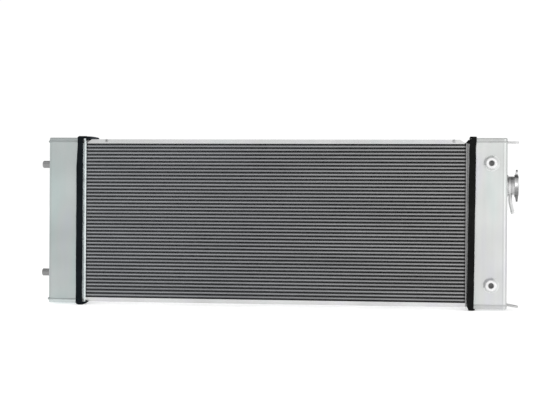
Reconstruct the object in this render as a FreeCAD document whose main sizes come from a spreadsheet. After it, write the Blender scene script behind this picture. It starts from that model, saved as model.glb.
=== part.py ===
"""Bar-and-plate cooler lying on its long side, as separate pieces.

X runs along the core from one tank to the other, Y runs from front to rear and Z points up.
Every piece is drawn about the middle of the core. Placements then stand the cooler on Z = 0
with the middle of its outline over the origin.
"""
import FreeCAD, Part
import math
import os

import Sketcher

V = FreeCAD.Vector
X_AXIS = V(1, 0, 0)
Y_AXIS = V(0, 1, 0)
Z_AXIS = V(0, 0, 1)

# ---------------------------------------------------------------- driving dimensions, mm
SIZES = {
    # core: air rows between channel rows, divided by parting sheets
    "row_pitch": 7.5,
    "air_row_count": 45,
    "air_gap": 3.9,
    "sheet_gauge": 0.4,
    "core_depth": 90,
    "core_half_length": 418,
    "end_bar_width": 9,
    "channel_bar_width": 6,
    "air_fin_waves": 30,
    "air_fin_gauge": 0.5,
    "turbulator_waves": 12,
    "turbulator_gauge": 0.3,
    "side_plate_height": 9,
    "side_plate_web": 4,
    "side_plate_flange": 3,
    # the flanges of the top side plate are cut away at both ends
    "cope_length": 12,
    "cope_slope": 9,
    "cope_depth": 6.5,
    # blind rivets in the front flange of the top side plate
    "rivet_left": 364,
    "rivet_right": 384,
    "rivet_rise": 6,
    "rivet_shank_radius": 1.6,
    "rivet_head_radius": 3.4,
    "rivet_head_height": 1.2,
    "rivet_tail_length": 4,
    "rivet_bore_radius": 0.9,
    "rivet_tail_step": 0.2,
    # tanks
    "tank_depth": 94,
    "tank_wall": 4,
    "tank_bend_radius": 8,
    "left_tank_length": 74,
    "right_tank_length": 77.5,
    "end_cap_height": 8.5,
    "end_cap_plate": 4,
    "end_cap_edge_radius": 2.5,
    # locating pins of the left tank
    "pin_radius": 8,
    "pin_length": 26,
    "pin_chamfer": 1.5,
    "pin_weld_radius": 11,
    "pin_weld_height": 3,
    "upper_pin_rise": 122,
    "lower_pin_drop": 115.5,
    # tapped bosses of the right tank
    "boss_radius": 11.5,
    "boss_height": 12,
    "boss_weld_radius": 17,
    "boss_weld_height": 4,
    "boss_step": 1,
    "boss_chamfer": 0.8,
    "boss_hole_radius": 5.1,
    "boss_hole_depth": 11,
    "boss_inset": 32.8,
    "boss_half_spacing": 128,
    "boss_drop": 1.4,
    # mounting ears of the right tank
    "ear_length": 24,
    "ear_width": 40,
    "ear_gauge": 3.5,
    "ear_corner_radius": 8,
    "ear_hole_radius": 5.5,
    "ear_hole_reach": 13,
    "ear_rise": 172,
    "lower_ear_droop": 10,
    # hose ports at the rear of both tanks
    "port_inset": 40,
    "port_radius": 22.5,
    "port_wall": 2.5,
    "port_length": 45,
    "port_bead_height": 2,
    "port_bead_width": 5,
    "port_bead_inset": 4,
    "port_weld_radius": 25,
    "port_weld_height": 4,
    "port_chamfer": 0.6,
    "port_opening_radius": 18,
    "inlet_drop": 90,
    "outlet_rise": 90,
    # drain at the rear of the left tank
    "drain_drop": 140,
    "drain_boss_radius": 13,
    "drain_boss_height": 10,
    "drain_bore_radius": 7,
    "drain_weld_width": 2,
    "drain_weld_height": 2.5,
    "drain_washer_radius": 11,
    "drain_washer_gauge": 1.5,
    "drain_plug_play": 0.1,
    "drain_plug_chamfer": 1,
    "drain_hex_radius": 11,
    "drain_hex_height": 8,
    # filler neck on the end of the right tank
    "neck_rise": 80,
    "neck_radius": 20,
    "neck_wall": 2,
    "neck_weld_width": 2.5,
    "neck_weld_toe": 0.8,
    "neck_weld_height": 3,
    "neck_length": 18,
    "neck_seat_gauge": 2.5,
    "neck_seat_radius": 11,
    "neck_rim_radius": 21.8,
    "neck_rim_gauge": 1.5,
    "neck_notch_width": 16,
    # overflow pipe under the neck
    "overflow_radius": 3.75,
    "overflow_wall": 1,
    "overflow_reach": 6.5,
    "overflow_drop": 59,
    "overflow_straight": 9,
    "overflow_bend_radius": 40,
    "overflow_tilt": 13,
    "overflow_bead_height": 0.8,
    "overflow_bead_overlap": 0.4,
    "overflow_bead_inset": 5,
    # pressure cap
    "cap_radius": 23.5,
    "cap_gauge": 1.2,
    "cap_bevel": 2,
    "cap_skirt_start": 15.5,
    "cap_top": 23.8,
    "cap_ear_reach": 33.8,
    "cap_ear_width": 15,
    "cap_ear_height": 4.2,
    "cap_ear_step": 1.6,
    "cap_ear_tip": 1.5,
    "cap_finger_width": 12,
    "cap_finger_radius": 20.6,
    "cap_finger_gauge": 1.3,
    "cap_finger_gap": 0.3,
    "cap_finger_overlap": 0.3,
    "rivet_play": 0.05,
    "cap_rivet_radius": 3,
    "cap_rivet_head_radius": 5,
    "cap_rivet_head_height": 0.8,
    "cap_rivet_head_slope": 1.5,
    "cap_rivet_foot": 1,
    "cap_play": 0.1,
    "gasket_gauge": 1,
    "gasket_inner_radius": 17.5,
    "gasket_outer_radius": 21.5,
    "diaphragm_gauge": 0.5,
    "cage_radius": 15,
    "cage_gauge": 1,
    "cage_depth": 11,
    "cage_lip_gauge": 0.7,
    "cage_lip_radius": 12.5,
    "cage_window_width": 9,
    "cage_window_height": 6,
    "cage_window_rise": 2,
    "valve_play": 0.3,
    "valve_flange_radius": 13.5,
    "valve_flange_gauge": 1,
    "valve_waist_radius": 11.5,
    "valve_waist_bore": 10.5,
    "valve_disc_radius": 14.5,
    "valve_disc_gauge": 1.1,
    "valve_floor_gauge": 1,
    "valve_stem_bore": 2.2,
    "valve_seal_gauge": 1.5,
    "valve_seal_bore": 8,
    "vacuum_disc_radius": 9.8,
    "vacuum_disc_gauge": 0.8,
    "vacuum_stem_radius": 1.6,
    "vacuum_stem_length": 8.6,
    "vacuum_head_radius": 4,
    "vacuum_head_gauge": 1,
    "pressure_wire_radius": 0.9,
    "pressure_coil_radius": 9.2,
    "pressure_coil_count": 3,
    "vacuum_wire_radius": 0.35,
    "vacuum_coil_radius": 3,
    "vacuum_coil_count": 4,
    # foam seals
    "foam_width": 15,
    "foam_overlap": 3,
    "foam_gauge": 5,
    "foam_end_gauge": 3.55,
    "foam_edge_radius": 2,
    "foam_tail_length": 36,
    "foam_tail_depth": 12,
    "foam_tail_droop": 1.7,
    "foam_bevel_width": 4.5,
    "foam_bevel_height": 9,
    "foam_lobe_gap": 7,
    "foam_lobe_reach": 14,
    "foam_lobe_drop": 12.5,
    "foam_lobe_hem": 5,
}

doc = FreeCAD.newDocument("cooler")
sheet = doc.addObject("Spreadsheet::Sheet", "Sizes")
for row, (alias, size) in enumerate(SIZES.items(), start=1):
    sheet.set(f"A{row}", alias.replace("_", " "))
    sheet.set(f"B{row}", str(size))
    sheet.setAlias(f"B{row}", alias)
doc.recompute()


def size(alias):
    """A driving dimension as a plain number."""
    return float(getattr(sheet, alias))


def expression(text):
    """Sheet names in a formula get their prefix, so that formulas stay short to read."""
    words = []
    for word in text.replace("(", "( ").replace(")", " )").split():
        words.append(f"Sizes.{word}" if word in SIZES else word)
    return " ".join(words)


def value(text):
    """The number that a formula of sheet names gives."""
    return float(sheet.evalExpression(expression(text)))


def bind(target, **formulas):
    """Bind properties of an object to formulas."""
    for name, text in formulas.items():
        target.setExpression(name, expression(text))


# heights that several pieces share
HALF_STACK = "( ( air_row_count * air_gap + ( air_row_count - 1 ) * ( row_pitch - air_gap ) ) / 2 )"
SEAM = f"( {HALF_STACK} + side_plate_web )"
TANK_TOP = f"( {SEAM} + end_cap_height )"
HALF_DEPTH = "( tank_depth / 2 )"
LEFT_END = "( core_half_length + left_tank_length )"
RIGHT_END = "( core_half_length + right_tank_length )"
PORT_X = "( core_half_length + port_inset )"
FIN_END = "( core_half_length - end_bar_width )"
MIDDLE_Y = "( ( boss_height - port_length ) / 2 )"
MIDDLE_Z = f"( {TANK_TOP} + foam_end_gauge )"

NODES = {}


def keep(name, piece, x="0", y="0", z="0", turn=None):
    """Name a finished piece and place it: turned about its own origin, then moved."""
    if turn is not None:
        piece.Placement = FreeCAD.Placement(V(0, 0, 0), turn)
    piece.setExpression("Placement.Base.x", expression(x))
    piece.setExpression("Placement.Base.y", expression(f"{MIDDLE_Y} + {y}"))
    piece.setExpression("Placement.Base.z", expression(f"{MIDDLE_Z} + {z}"))
    piece.Label = name
    NODES[name] = piece
    return piece


# ---------------------------------------------------------------- sketches and features
def new_body(name):
    return doc.addObject("PartDesign::Body", name)


def new_sketch(body, plane, lift="0"):
    """A sketch on one of the body's own origin planes, lifted along the plane's normal."""
    sketch = body.newObject("Sketcher::SketchObject", "Sketch")
    origin = [f for f in body.Origin.OriginFeatures if f.Role == plane][0]
    sketch.AttachmentSupport = [(origin, "")]
    sketch.MapMode = "FlatFace"
    sketch.setExpression("AttachmentOffset.Base.z", expression(lift))
    return sketch


def hold_point(sketch, geometry, corner, across, up):
    """Fix one point of a sketch by two formulas measured from the sketch's origin."""
    for kind, text in (("DistanceX", across), ("DistanceY", up)):
        index = sketch.addConstraint(
            Sketcher.Constraint(kind, -1, 1, geometry, corner, value(text))
        )
        sketch.setExpression(f"Constraints[{index}]", expression(text))


def draw_outline(sketch, corners):
    """A closed outline of straight lines. Each corner is a pair of formulas."""
    first = sketch.GeometryCount
    places = [V(value(a), value(b), 0) for a, b in corners]
    for start, end in zip(places, places[1:] + places[:1]):
        sketch.addGeometry(Part.LineSegment(start, end), False)
    count = len(corners)
    for k, (across, up) in enumerate(corners):
        following = first + (k + 1) % count
        sketch.addConstraint(Sketcher.Constraint("Coincident", first + k, 2, following, 1))
        hold_point(sketch, first + k, 1, across, up)


def draw_circle(sketch, across, up, radius):
    """A circle whose centre and radius are formulas."""
    centre = V(value(across), value(up), 0)
    index = sketch.addGeometry(Part.Circle(centre, Z_AXIS, value(radius)), False)
    hold_point(sketch, index, 3, across, up)
    held = sketch.addConstraint(Sketcher.Constraint("Radius", index, value(radius)))
    sketch.setExpression(f"Constraints[{held}]", expression(radius))


def rectangle(left, right, low, high):
    return [(left, low), (right, low), (right, high), (left, high)]


def pad(body, sketch, length, midplane=False, backwards=False):
    feature = body.newObject("PartDesign::Pad", "Pad")
    feature.Profile = sketch
    feature.Midplane = midplane
    feature.Reversed = backwards
    bind(feature, Length=length)
    doc.recompute()
    return feature


def pocket(body, sketch, length, backwards=False):
    """Cut a sketch into a body, and make sure that it took material away."""
    before = body.Shape.Volume
    feature = body.newObject("PartDesign::Pocket", "Pocket")
    feature.Profile = sketch
    feature.Reversed = backwards
    bind(feature, Length=length)
    doc.recompute()
    if not body.Shape.Volume < before - 1e-6:
        raise RuntimeError(f"{body.Name}: a pocket cut nothing")
    return feature


def edges_where(shape, test):
    return [f"Edge{n}" for n, edge in enumerate(shape.Edges, start=1) if test(edge)]


def runs_along(edge, axis):
    """Is this a straight edge parallel to an axis?"""
    if edge.Curve.TypeId != "Part::GeomLine":
        return False
    return abs(edge.tangentAt(edge.FirstParameter).dot(axis)) > 0.999


def fillet(body, base, test, radius):
    feature = body.newObject("PartDesign::Fillet", "Fillet")
    feature.Base = (base, edges_where(base.Shape, test))
    bind(feature, Radius=radius)
    doc.recompute()
    return feature


def turned(name, profile):
    """A body turned about its own X axis. The profile is (distance along, radius) formulas."""
    body = new_body(name)
    sketch = new_sketch(body, "XY_Plane")
    draw_outline(sketch, profile)
    feature = body.newObject("PartDesign::Revolution", "Revolution")
    feature.Profile = sketch
    feature.ReferenceAxis = (sketch, ["H_Axis"])
    feature.Angle = 360
    doc.recompute()
    return body


def turn_to(direction):
    """The rotation that takes a turned piece's X axis to a direction."""
    return FreeCAD.Rotation(X_AXIS, direction)


# ---------------------------------------------------------------- core
def rows(count, pitch):
    """Heights of evenly spaced rows about the middle of the core."""
    return [(k - (count - 1) / 2) * pitch for k in range(count)]


def stack(name, solids):
    """Many equal pieces of the brazed core, kept as one object with separate solids."""
    piece = doc.addObject("Part::Feature", name)
    piece.Shape = Part.makeCompound(solids)
    return keep(name, piece)


def bar(x0, x1, y0, y1, middle, height):
    corner = V(x0, y0, middle - height / 2)
    return Part.makeBox(x1 - x0, y1 - y0, height, corner)


def wave_outline(start, end, waves, height, gauge):
    """Corners of a folded strip's section: up and down from side to side, as (along, up)."""
    half = (end - start) / (2 * waves)
    slope = (height - gauge) / half
    for _ in range(3):
        rise = height - gauge * math.hypot(1, slope)
        slope = rise / half
    upright = gauge * math.hypot(1, slope)
    top = []
    for k in range(2 * waves + 1):
        level = height / 2 if k % 2 else height / 2 - rise
        top.append((start + k * half, level))
    bottom = [(along, level - upright) for along, level in reversed(top)]
    return top + bottom


def make_core():
    air_rows = int(size("air_row_count"))
    pitch = size("row_pitch")
    air_gap = size("air_gap")
    gauge = size("sheet_gauge")
    channel = pitch - air_gap - 2 * gauge
    end = size("core_half_length")
    fin_end = value(FIN_END)
    side = size("core_depth") / 2
    inner = side - size("channel_bar_width")
    air = rows(air_rows, pitch)
    channels = rows(air_rows - 1, pitch)
    step = (channel + gauge) / 2

    sheets = [bar(-end, end, -side, side, z + k * step, gauge) for z in channels for k in (-1, 1)]
    stack("parting_sheets", sheets)
    stack("front_channel_bars", [bar(-end, end, -side, -inner, z, channel) for z in channels])
    stack("rear_channel_bars", [bar(-end, end, inner, side, z, channel) for z in channels])
    stack("left_air_end_bars", [bar(-end, -fin_end, -side, side, z, air_gap) for z in air])
    stack("right_air_end_bars", [bar(fin_end, end, -side, side, z, air_gap) for z in air])

    # air fins fold along X and are open from front to rear
    folds = wave_outline(-fin_end, fin_end, int(size("air_fin_waves")), air_gap, size("air_fin_gauge"))
    fins = []
    for z in air:
        corners = [V(along, -side, z + up) for along, up in folds]
        face = Part.Face(Part.makePolygon(corners + corners[:1]))
        fins.append(face.extrude(Y_AXIS * (2 * side)))
    stack("air_fins", fins)

    # turbulators fold along Y and are open from tank to tank
    folds = wave_outline(
        -inner, inner, int(size("turbulator_waves")), channel, size("turbulator_gauge")
    )
    strips = []
    for z in channels:
        corners = [V(-fin_end, along, z + up) for along, up in folds]
        face = Part.Face(Part.makePolygon(corners + corners[:1]))
        strips.append(face.extrude(X_AXIS * (2 * fin_end)))
    stack("turbulators", strips)


def make_side_plate(name, sign, riveted):
    """A channel that closes the stack, its web against the last fins and its flanges outwards."""
    body = new_body(name)
    sketch = new_sketch(body, "YZ_Plane")
    half = "core_depth / 2"
    inside = "core_depth / 2 - side_plate_flange"
    low = f"{sign} * {HALF_STACK}"
    web = f"{sign} * ( {HALF_STACK} + side_plate_web )"
    high = f"{sign} * ( {HALF_STACK} + side_plate_height )"
    draw_outline(
        sketch,
        [
            (f"-1 * ( {half} )", low),
            (half, low),
            (half, high),
            (inside, high),
            (inside, web),
            (f"-1 * ( {inside} )", web),
            (f"-1 * ( {inside} )", high),
            (f"-1 * ( {half} )", high),
        ],
    )
    pad(body, sketch, "2 * core_half_length", midplane=True)
    if riveted:
        make_copes(body)
        holes = new_sketch(body, "XZ_Plane", "core_depth / 2")
        height = f"{HALF_STACK} + rivet_rise"
        draw_circle(holes, "-1 * rivet_left", height, "rivet_shank_radius + rivet_play")
        draw_circle(holes, "rivet_right", height, "rivet_shank_radius + rivet_play")
        pocket(body, holes, "side_plate_flange + 1")
    keep(name, body)


def make_copes(body):
    """Cut a sloping notch through both flanges at each end, down into the channel."""
    cope = new_sketch(body, "XZ_Plane", "core_depth / 2")
    top = f"( {HALF_STACK} + side_plate_height )"
    floor = f"( {top} - cope_depth )"
    beyond = "( core_half_length + 1 )"
    shoulder = "( core_half_length - cope_length )"
    for sign in (1, -1):
        corners = [
            (f"{sign} * {beyond}", f"{top} + 1"),
            (f"{sign} * {beyond}", floor),
            (f"{sign} * {shoulder}", floor),
            (f"{sign} * ( {shoulder} - cope_slope )", top),
            (f"{sign} * ( {shoulder} - cope_slope )", f"{top} + 1"),
        ]
        draw_outline(cope, corners)
    pocket(body, cope, "core_depth + 1")


def make_rivets():
    """Two equal blind rivets: domed head in front, shank through the flange, set tail behind."""
    front = "0"
    head = "rivet_head_height"
    behind = "-1 * side_plate_flange"
    tail = "-1 * ( side_plate_flange + rivet_tail_length )"
    rivet = turned(
        "rivet",
        [
            (tail, "rivet_bore_radius"),
            (head, "rivet_bore_radius"),
            (head, "rivet_head_radius * 0.6"),
            (f"{head} * 0.5", "rivet_head_radius"),
            (front, "rivet_head_radius"),
            (front, "rivet_shank_radius"),
            (behind, "rivet_shank_radius"),
            (f"{behind} - rivet_tail_step", "rivet_shank_radius * 1.2"),
            (tail, "rivet_shank_radius * 1.1"),
        ],
    )
    shape = rivet.Shape.copy()
    solids = []
    for x in (-size("rivet_left"), size("rivet_right")):
        solid = shape.copy()
        place = V(x, -size("core_depth") / 2, value(HALF_STACK) + size("rivet_rise"))
        solid.Placement = FreeCAD.Placement(place, turn_to(-Y_AXIS))
        solids.append(solid)
    stack("side_plate_rivets", solids)


# ---------------------------------------------------------------- tanks
def make_tank(side, sign, end, port_x, port_z):
    """A folded channel, open towards the core, with a hole behind the hose port."""
    body = new_body(f"{side}_tank_body")
    sketch = new_sketch(body, "XY_Plane")
    start = f"{sign} * core_half_length"
    outside = f"{sign} * {end}"
    inside = f"{sign} * ( {end} - tank_wall )"
    outer = HALF_DEPTH
    inner = f"( {HALF_DEPTH} - tank_wall )"
    draw_outline(
        sketch,
        [
            (start, f"-1 * {outer}"),
            (outside, f"-1 * {outer}"),
            (outside, outer),
            (start, outer),
            (start, inner),
            (inside, inner),
            (inside, f"-1 * {inner}"),
            (start, f"-1 * {inner}"),
        ],
    )
    shell = pad(body, sketch, f"2 * {SEAM}", midplane=True)
    far = value(outside)
    near = value(inside)
    bend = fillet(
        body,
        shell,
        lambda e: runs_along(e, Z_AXIS) and abs(e.CenterOfMass.x - far) < 0.01,
        "tank_bend_radius",
    )
    fillet(
        body,
        bend,
        lambda e: runs_along(e, Z_AXIS) and abs(e.CenterOfMass.x - near) < 0.01,
        "tank_bend_radius - tank_wall",
    )
    hole = new_sketch(body, "XZ_Plane", f"-1 * {HALF_DEPTH}")
    draw_circle(hole, port_x, port_z, "port_opening_radius")
    pocket(body, hole, "tank_wall + 1", backwards=True)
    return body


def make_end_cap(name, side_sign, end, up_sign):
    """A dished cap: a plate with a rim that meets the tank and the core at the seam."""
    body = new_body(name)
    start = f"{side_sign} * core_half_length"
    outside = f"{side_sign} * {end}"
    rim_start = f"{side_sign} * ( core_half_length + tank_wall )"
    rim_end = f"{side_sign} * ( {end} - tank_wall )"
    seam = f"{up_sign} * {SEAM}"
    downwards = up_sign < 0
    outline = new_sketch(body, "XY_Plane", seam)
    draw_outline(outline, rectangle(start, outside, f"-1 * {HALF_DEPTH}", HALF_DEPTH))
    block = pad(body, outline, "end_cap_height", backwards=downwards)
    far = value(outside)
    bend = fillet(
        body,
        block,
        lambda e: runs_along(e, Z_AXIS) and abs(e.CenterOfMass.x - far) < 0.01,
        "tank_bend_radius",
    )
    top = value(f"{up_sign} * {TANK_TOP}")
    fillet(
        body,
        bend,
        lambda e: abs(e.BoundBox.ZMin - top) < 0.01 and abs(e.BoundBox.ZMax - top) < 0.01,
        "end_cap_edge_radius",
    )
    dish = new_sketch(body, "XY_Plane", seam)
    inner = f"( {HALF_DEPTH} - tank_wall )"
    draw_outline(dish, rectangle(rim_start, rim_end, f"-1 * {inner}", inner))
    pocket(body, dish, "end_cap_height - end_cap_plate", backwards=not downwards)
    keep(name, body)


def make_pin(name, rise):
    pin = turned(
        name,
        [
            ("0", "0"),
            ("0", "pin_weld_radius"),
            ("pin_weld_height * 0.3", "pin_weld_radius"),
            ("pin_weld_height", "pin_radius"),
            ("pin_length - pin_chamfer", "pin_radius"),
            ("pin_length", "pin_radius - pin_chamfer"),
            ("pin_length", "0"),
        ],
    )
    keep(name, pin, x=f"-1 * {LEFT_END}", z=rise, turn=turn_to(-X_AXIS))


def make_boss(name, rise):
    boss = turned(
        name,
        [
            ("0", "0"),
            ("0", "boss_weld_radius"),
            ("boss_weld_height * 0.25", "boss_weld_radius"),
            ("boss_weld_height", "boss_radius + boss_step"),
            ("boss_weld_height", "boss_radius"),
            ("boss_height - boss_chamfer", "boss_radius"),
            ("boss_height", "boss_radius - boss_chamfer"),
            ("boss_height", "boss_hole_radius"),
            ("boss_height - boss_hole_depth", "boss_hole_radius"),
            ("boss_height - boss_hole_depth", "0"),
        ],
    )
    x = f"{RIGHT_END} - boss_inset"
    z = f"{rise} - boss_drop"
    keep(name, boss, x=x, y=f"-1 * {HALF_DEPTH}", z=z, turn=turn_to(-Y_AXIS))


def make_ear(name, rise, droop):
    """A flat plate with one hole and two rounded corners, welded to the tank by its straight edge."""
    body = new_body(name)
    sketch = new_sketch(body, "XY_Plane")
    draw_outline(sketch, rectangle("0", "ear_length", "-1 * ear_width / 2", "ear_width / 2"))
    plate = pad(body, sketch, "ear_gauge", midplane=True)
    reach = size("ear_length")
    fillet(
        body,
        plate,
        lambda e: runs_along(e, Z_AXIS) and abs(e.CenterOfMass.x - reach) < 0.01,
        "ear_corner_radius",
    )
    hole = new_sketch(body, "XY_Plane", "ear_gauge / 2")
    draw_circle(hole, "ear_hole_reach", "0", "ear_hole_radius")
    pocket(body, hole, "ear_gauge")
    # a drooping plate starts a little further out, so that its root stays clear of the tank
    clear = math.sin(math.radians(droop)) / 2
    x = f"{RIGHT_END} + ear_gauge * {clear:.5f}"
    keep(name, body, x=x, z=rise, turn=FreeCAD.Rotation(Y_AXIS, droop))


def make_port(name, x, z):
    """A beaded hose stub welded to the rear wall of a tank."""
    bead_end = "( port_length - port_bead_inset )"
    bead_start = f"( {bead_end} - port_bead_width )"
    inside = "port_radius - port_wall"
    port = turned(
        name,
        [
            ("0", inside),
            ("0", "port_weld_radius"),
            ("port_weld_height * 0.25", "port_weld_radius"),
            ("port_weld_height", "port_radius"),
            (bead_start, "port_radius"),
            (f"{bead_start} + port_bead_width * 0.3", "port_radius + port_bead_height"),
            (f"{bead_end} - port_bead_width * 0.3", "port_radius + port_bead_height"),
            (bead_end, "port_radius"),
            ("port_length - port_chamfer", "port_radius"),
            ("port_length", "port_radius - port_chamfer"),
            ("port_length", inside),
        ],
    )
    keep(name, port, x=x, y=HALF_DEPTH, z=z, turn=turn_to(Y_AXIS))


def make_drain():
    """A tapped boss, a sealing washer and a hexagon plug, low on the rear of the left tank."""
    x = f"-1 * {PORT_X}"
    z = "-1 * drain_drop"
    boss = turned(
        "drain_boss",
        [
            ("0", "drain_bore_radius"),
            ("0", "drain_boss_radius + drain_weld_width"),
            ("drain_weld_height", "drain_boss_radius"),
            ("drain_boss_height", "drain_boss_radius"),
            ("drain_boss_height", "drain_bore_radius"),
        ],
    )
    keep("drain_boss", boss, x=x, y=HALF_DEPTH, z=z, turn=turn_to(Y_AXIS))
    washer = turned(
        "drain_washer",
        [
            ("0", "drain_bore_radius + drain_plug_play"),
            ("0", "drain_washer_radius"),
            ("drain_washer_gauge", "drain_washer_radius"),
            ("drain_washer_gauge", "drain_bore_radius + drain_plug_play"),
        ],
    )
    seat = f"{HALF_DEPTH} + drain_boss_height"
    keep("drain_washer", washer, x=x, y=seat, z=z, turn=turn_to(Y_AXIS))
    plug = turned(
        "drain_plug",
        [
            ("-1 * drain_boss_height", "0"),
            ("-1 * drain_boss_height", "drain_bore_radius - drain_plug_chamfer"),
            ("drain_plug_chamfer - drain_boss_height", "drain_bore_radius - drain_plug_play"),
            ("drain_washer_gauge", "drain_bore_radius - drain_plug_play"),
            ("drain_washer_gauge", "0"),
        ],
    )
    head = new_sketch(plug, "YZ_Plane", "drain_washer_gauge")
    corners = []
    for k in range(6):
        angle = math.radians(60 * k)
        across = f"drain_hex_radius * {math.cos(angle):.6f}"
        up = f"drain_hex_radius * {math.sin(angle):.6f}"
        corners.append((across, up))
    draw_outline(head, corners)
    pad(plug, head, "drain_hex_height")
    keep("drain_plug", plug, x=x, y=seat, z=z, turn=turn_to(Y_AXIS))


def make_tanks():
    left = make_tank("left", -1, LEFT_END, f"-1 * {PORT_X}", "outlet_rise")
    drain = new_sketch(left, "XZ_Plane", f"-1 * {HALF_DEPTH}")
    draw_circle(drain, f"-1 * {PORT_X}", "-1 * drain_drop", "drain_bore_radius - 1")
    pocket(left, drain, "tank_wall + 1", backwards=True)
    keep("left_tank_body", left)
    right = make_tank("right", 1, RIGHT_END, PORT_X, "-1 * inlet_drop")
    mouth = new_sketch(right, "YZ_Plane", RIGHT_END)
    draw_circle(mouth, "0", "neck_rise", "neck_seat_radius")
    pocket(right, mouth, "tank_wall + 1")
    keep("right_tank_body", right)
    make_end_cap("left_tank_top_cap", -1, LEFT_END, 1)
    make_end_cap("left_tank_bottom_cap", -1, LEFT_END, -1)
    make_end_cap("right_tank_top_cap", 1, RIGHT_END, 1)
    make_end_cap("right_tank_bottom_cap", 1, RIGHT_END, -1)
    make_pin("upper_locating_pin", "upper_pin_rise")
    make_pin("lower_locating_pin", "-1 * lower_pin_drop")
    make_boss("upper_mount_boss", "boss_half_spacing")
    make_boss("lower_mount_boss", "-1 * boss_half_spacing")
    make_ear("upper_mount_ear", "ear_rise", 0)
    make_ear("lower_mount_ear", "-1 * ear_rise", size("lower_ear_droop"))
    make_port("inlet_port", PORT_X, "-1 * inlet_drop")
    make_port("outlet_port", f"-1 * {PORT_X}", "outlet_rise")
    make_drain()


# ---------------------------------------------------------------- filler neck and pressure cap
def keep_on_neck(name, piece):
    """Place a piece drawn about the neck's axis, with its own X = 0 on the tank's end wall."""
    return keep(name, piece, x=RIGHT_END, z="neck_rise")


def make_neck():
    rim = "( neck_length - neck_rim_gauge )"
    bore = "( neck_radius - neck_wall )"
    neck = turned(
        "filler_neck",
        [
            ("0", "neck_seat_radius"),
            ("0", "neck_radius + neck_weld_width"),
            ("neck_weld_toe", "neck_radius + neck_weld_width"),
            ("neck_weld_height", "neck_radius"),
            (rim, "neck_radius"),
            (rim, "neck_rim_radius"),
            ("neck_length", "neck_rim_radius"),
            ("neck_length", bore),
            ("neck_seat_gauge", bore),
            ("neck_seat_gauge", "neck_seat_radius"),
        ],
    )
    # two notches let the fingers of the cap pass the rim
    notch = new_sketch(neck, "YZ_Plane", "neck_length")
    half = "neck_notch_width / 2"
    beyond = "( neck_rim_radius + 1 )"
    for sign in (1, -1):
        low = f"{sign} * neck_radius"
        high = f"{sign} * {beyond}"
        draw_outline(notch, rectangle(f"-1 * {half}", half, low, high))
    pocket(neck, notch, "neck_rim_gauge")
    # the overflow pipe opens into the neck above the seat
    mouth = new_sketch(neck, "XY_Plane", "-1 * ( neck_radius + 1 )")
    draw_circle(mouth, "overflow_reach", "0", "overflow_radius - overflow_wall")
    pocket(neck, mouth, "2 * neck_wall + 2", backwards=True)
    keep_on_neck("filler_neck", neck)


def tube_along(path, start, direction, radius):
    ring = Part.Wire(Part.makeCircle(radius, start, direction))
    return path.makePipeShell([ring], True, True)


def make_overflow_pipe():
    """A thin pipe that leaves the neck downwards, bends outwards and ends in a small bead."""
    radius = size("overflow_radius")
    bend = size("overflow_bend_radius")
    tilt = math.radians(size("overflow_tilt"))
    overlap = size("overflow_bead_overlap")
    # the pipe starts just inside the neck's wall and is then cut to the curve of the neck
    top = V(size("overflow_reach"), 0, overlap - math.sqrt(size("neck_radius") ** 2 - radius**2))
    knee = V(top.x, 0, -size("neck_radius") - size("overflow_straight"))
    middle = knee + V(bend * (1 - math.cos(tilt / 2)), 0, -bend * math.sin(tilt / 2))
    after = knee + V(bend * (1 - math.cos(tilt)), 0, -bend * math.sin(tilt))
    away = V(math.sin(tilt), 0, -math.cos(tilt))
    end = after + away * ((size("overflow_drop") + after.z) / math.cos(tilt))
    path = Part.Wire(
        [
            Part.LineSegment(top, knee).toShape(),
            Part.Arc(knee, middle, after).toShape(),
            Part.LineSegment(after, end).toShape(),
        ]
    )
    bore = radius - size("overflow_wall")
    bead_middle = end - away * size("overflow_bead_inset")
    pipe = tube_along(path, top, -Z_AXIS, radius)
    bead_radius = overlap + size("overflow_bead_height")
    bead = Part.makeTorus(radius - overlap, bead_radius, bead_middle, away)
    hollow = tube_along(path, top, -Z_AXIS, bore)
    saddle = Part.makeCylinder(size("neck_radius"), 2 * size("neck_length"), V(0, 0, 0), X_AXIS)
    piece = doc.addObject("Part::Feature", "overflow_pipe")
    piece.Shape = pipe.fuse(bead).cut(hollow).cut(saddle).removeSplitter()
    keep_on_neck("overflow_pipe", piece)


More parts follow.
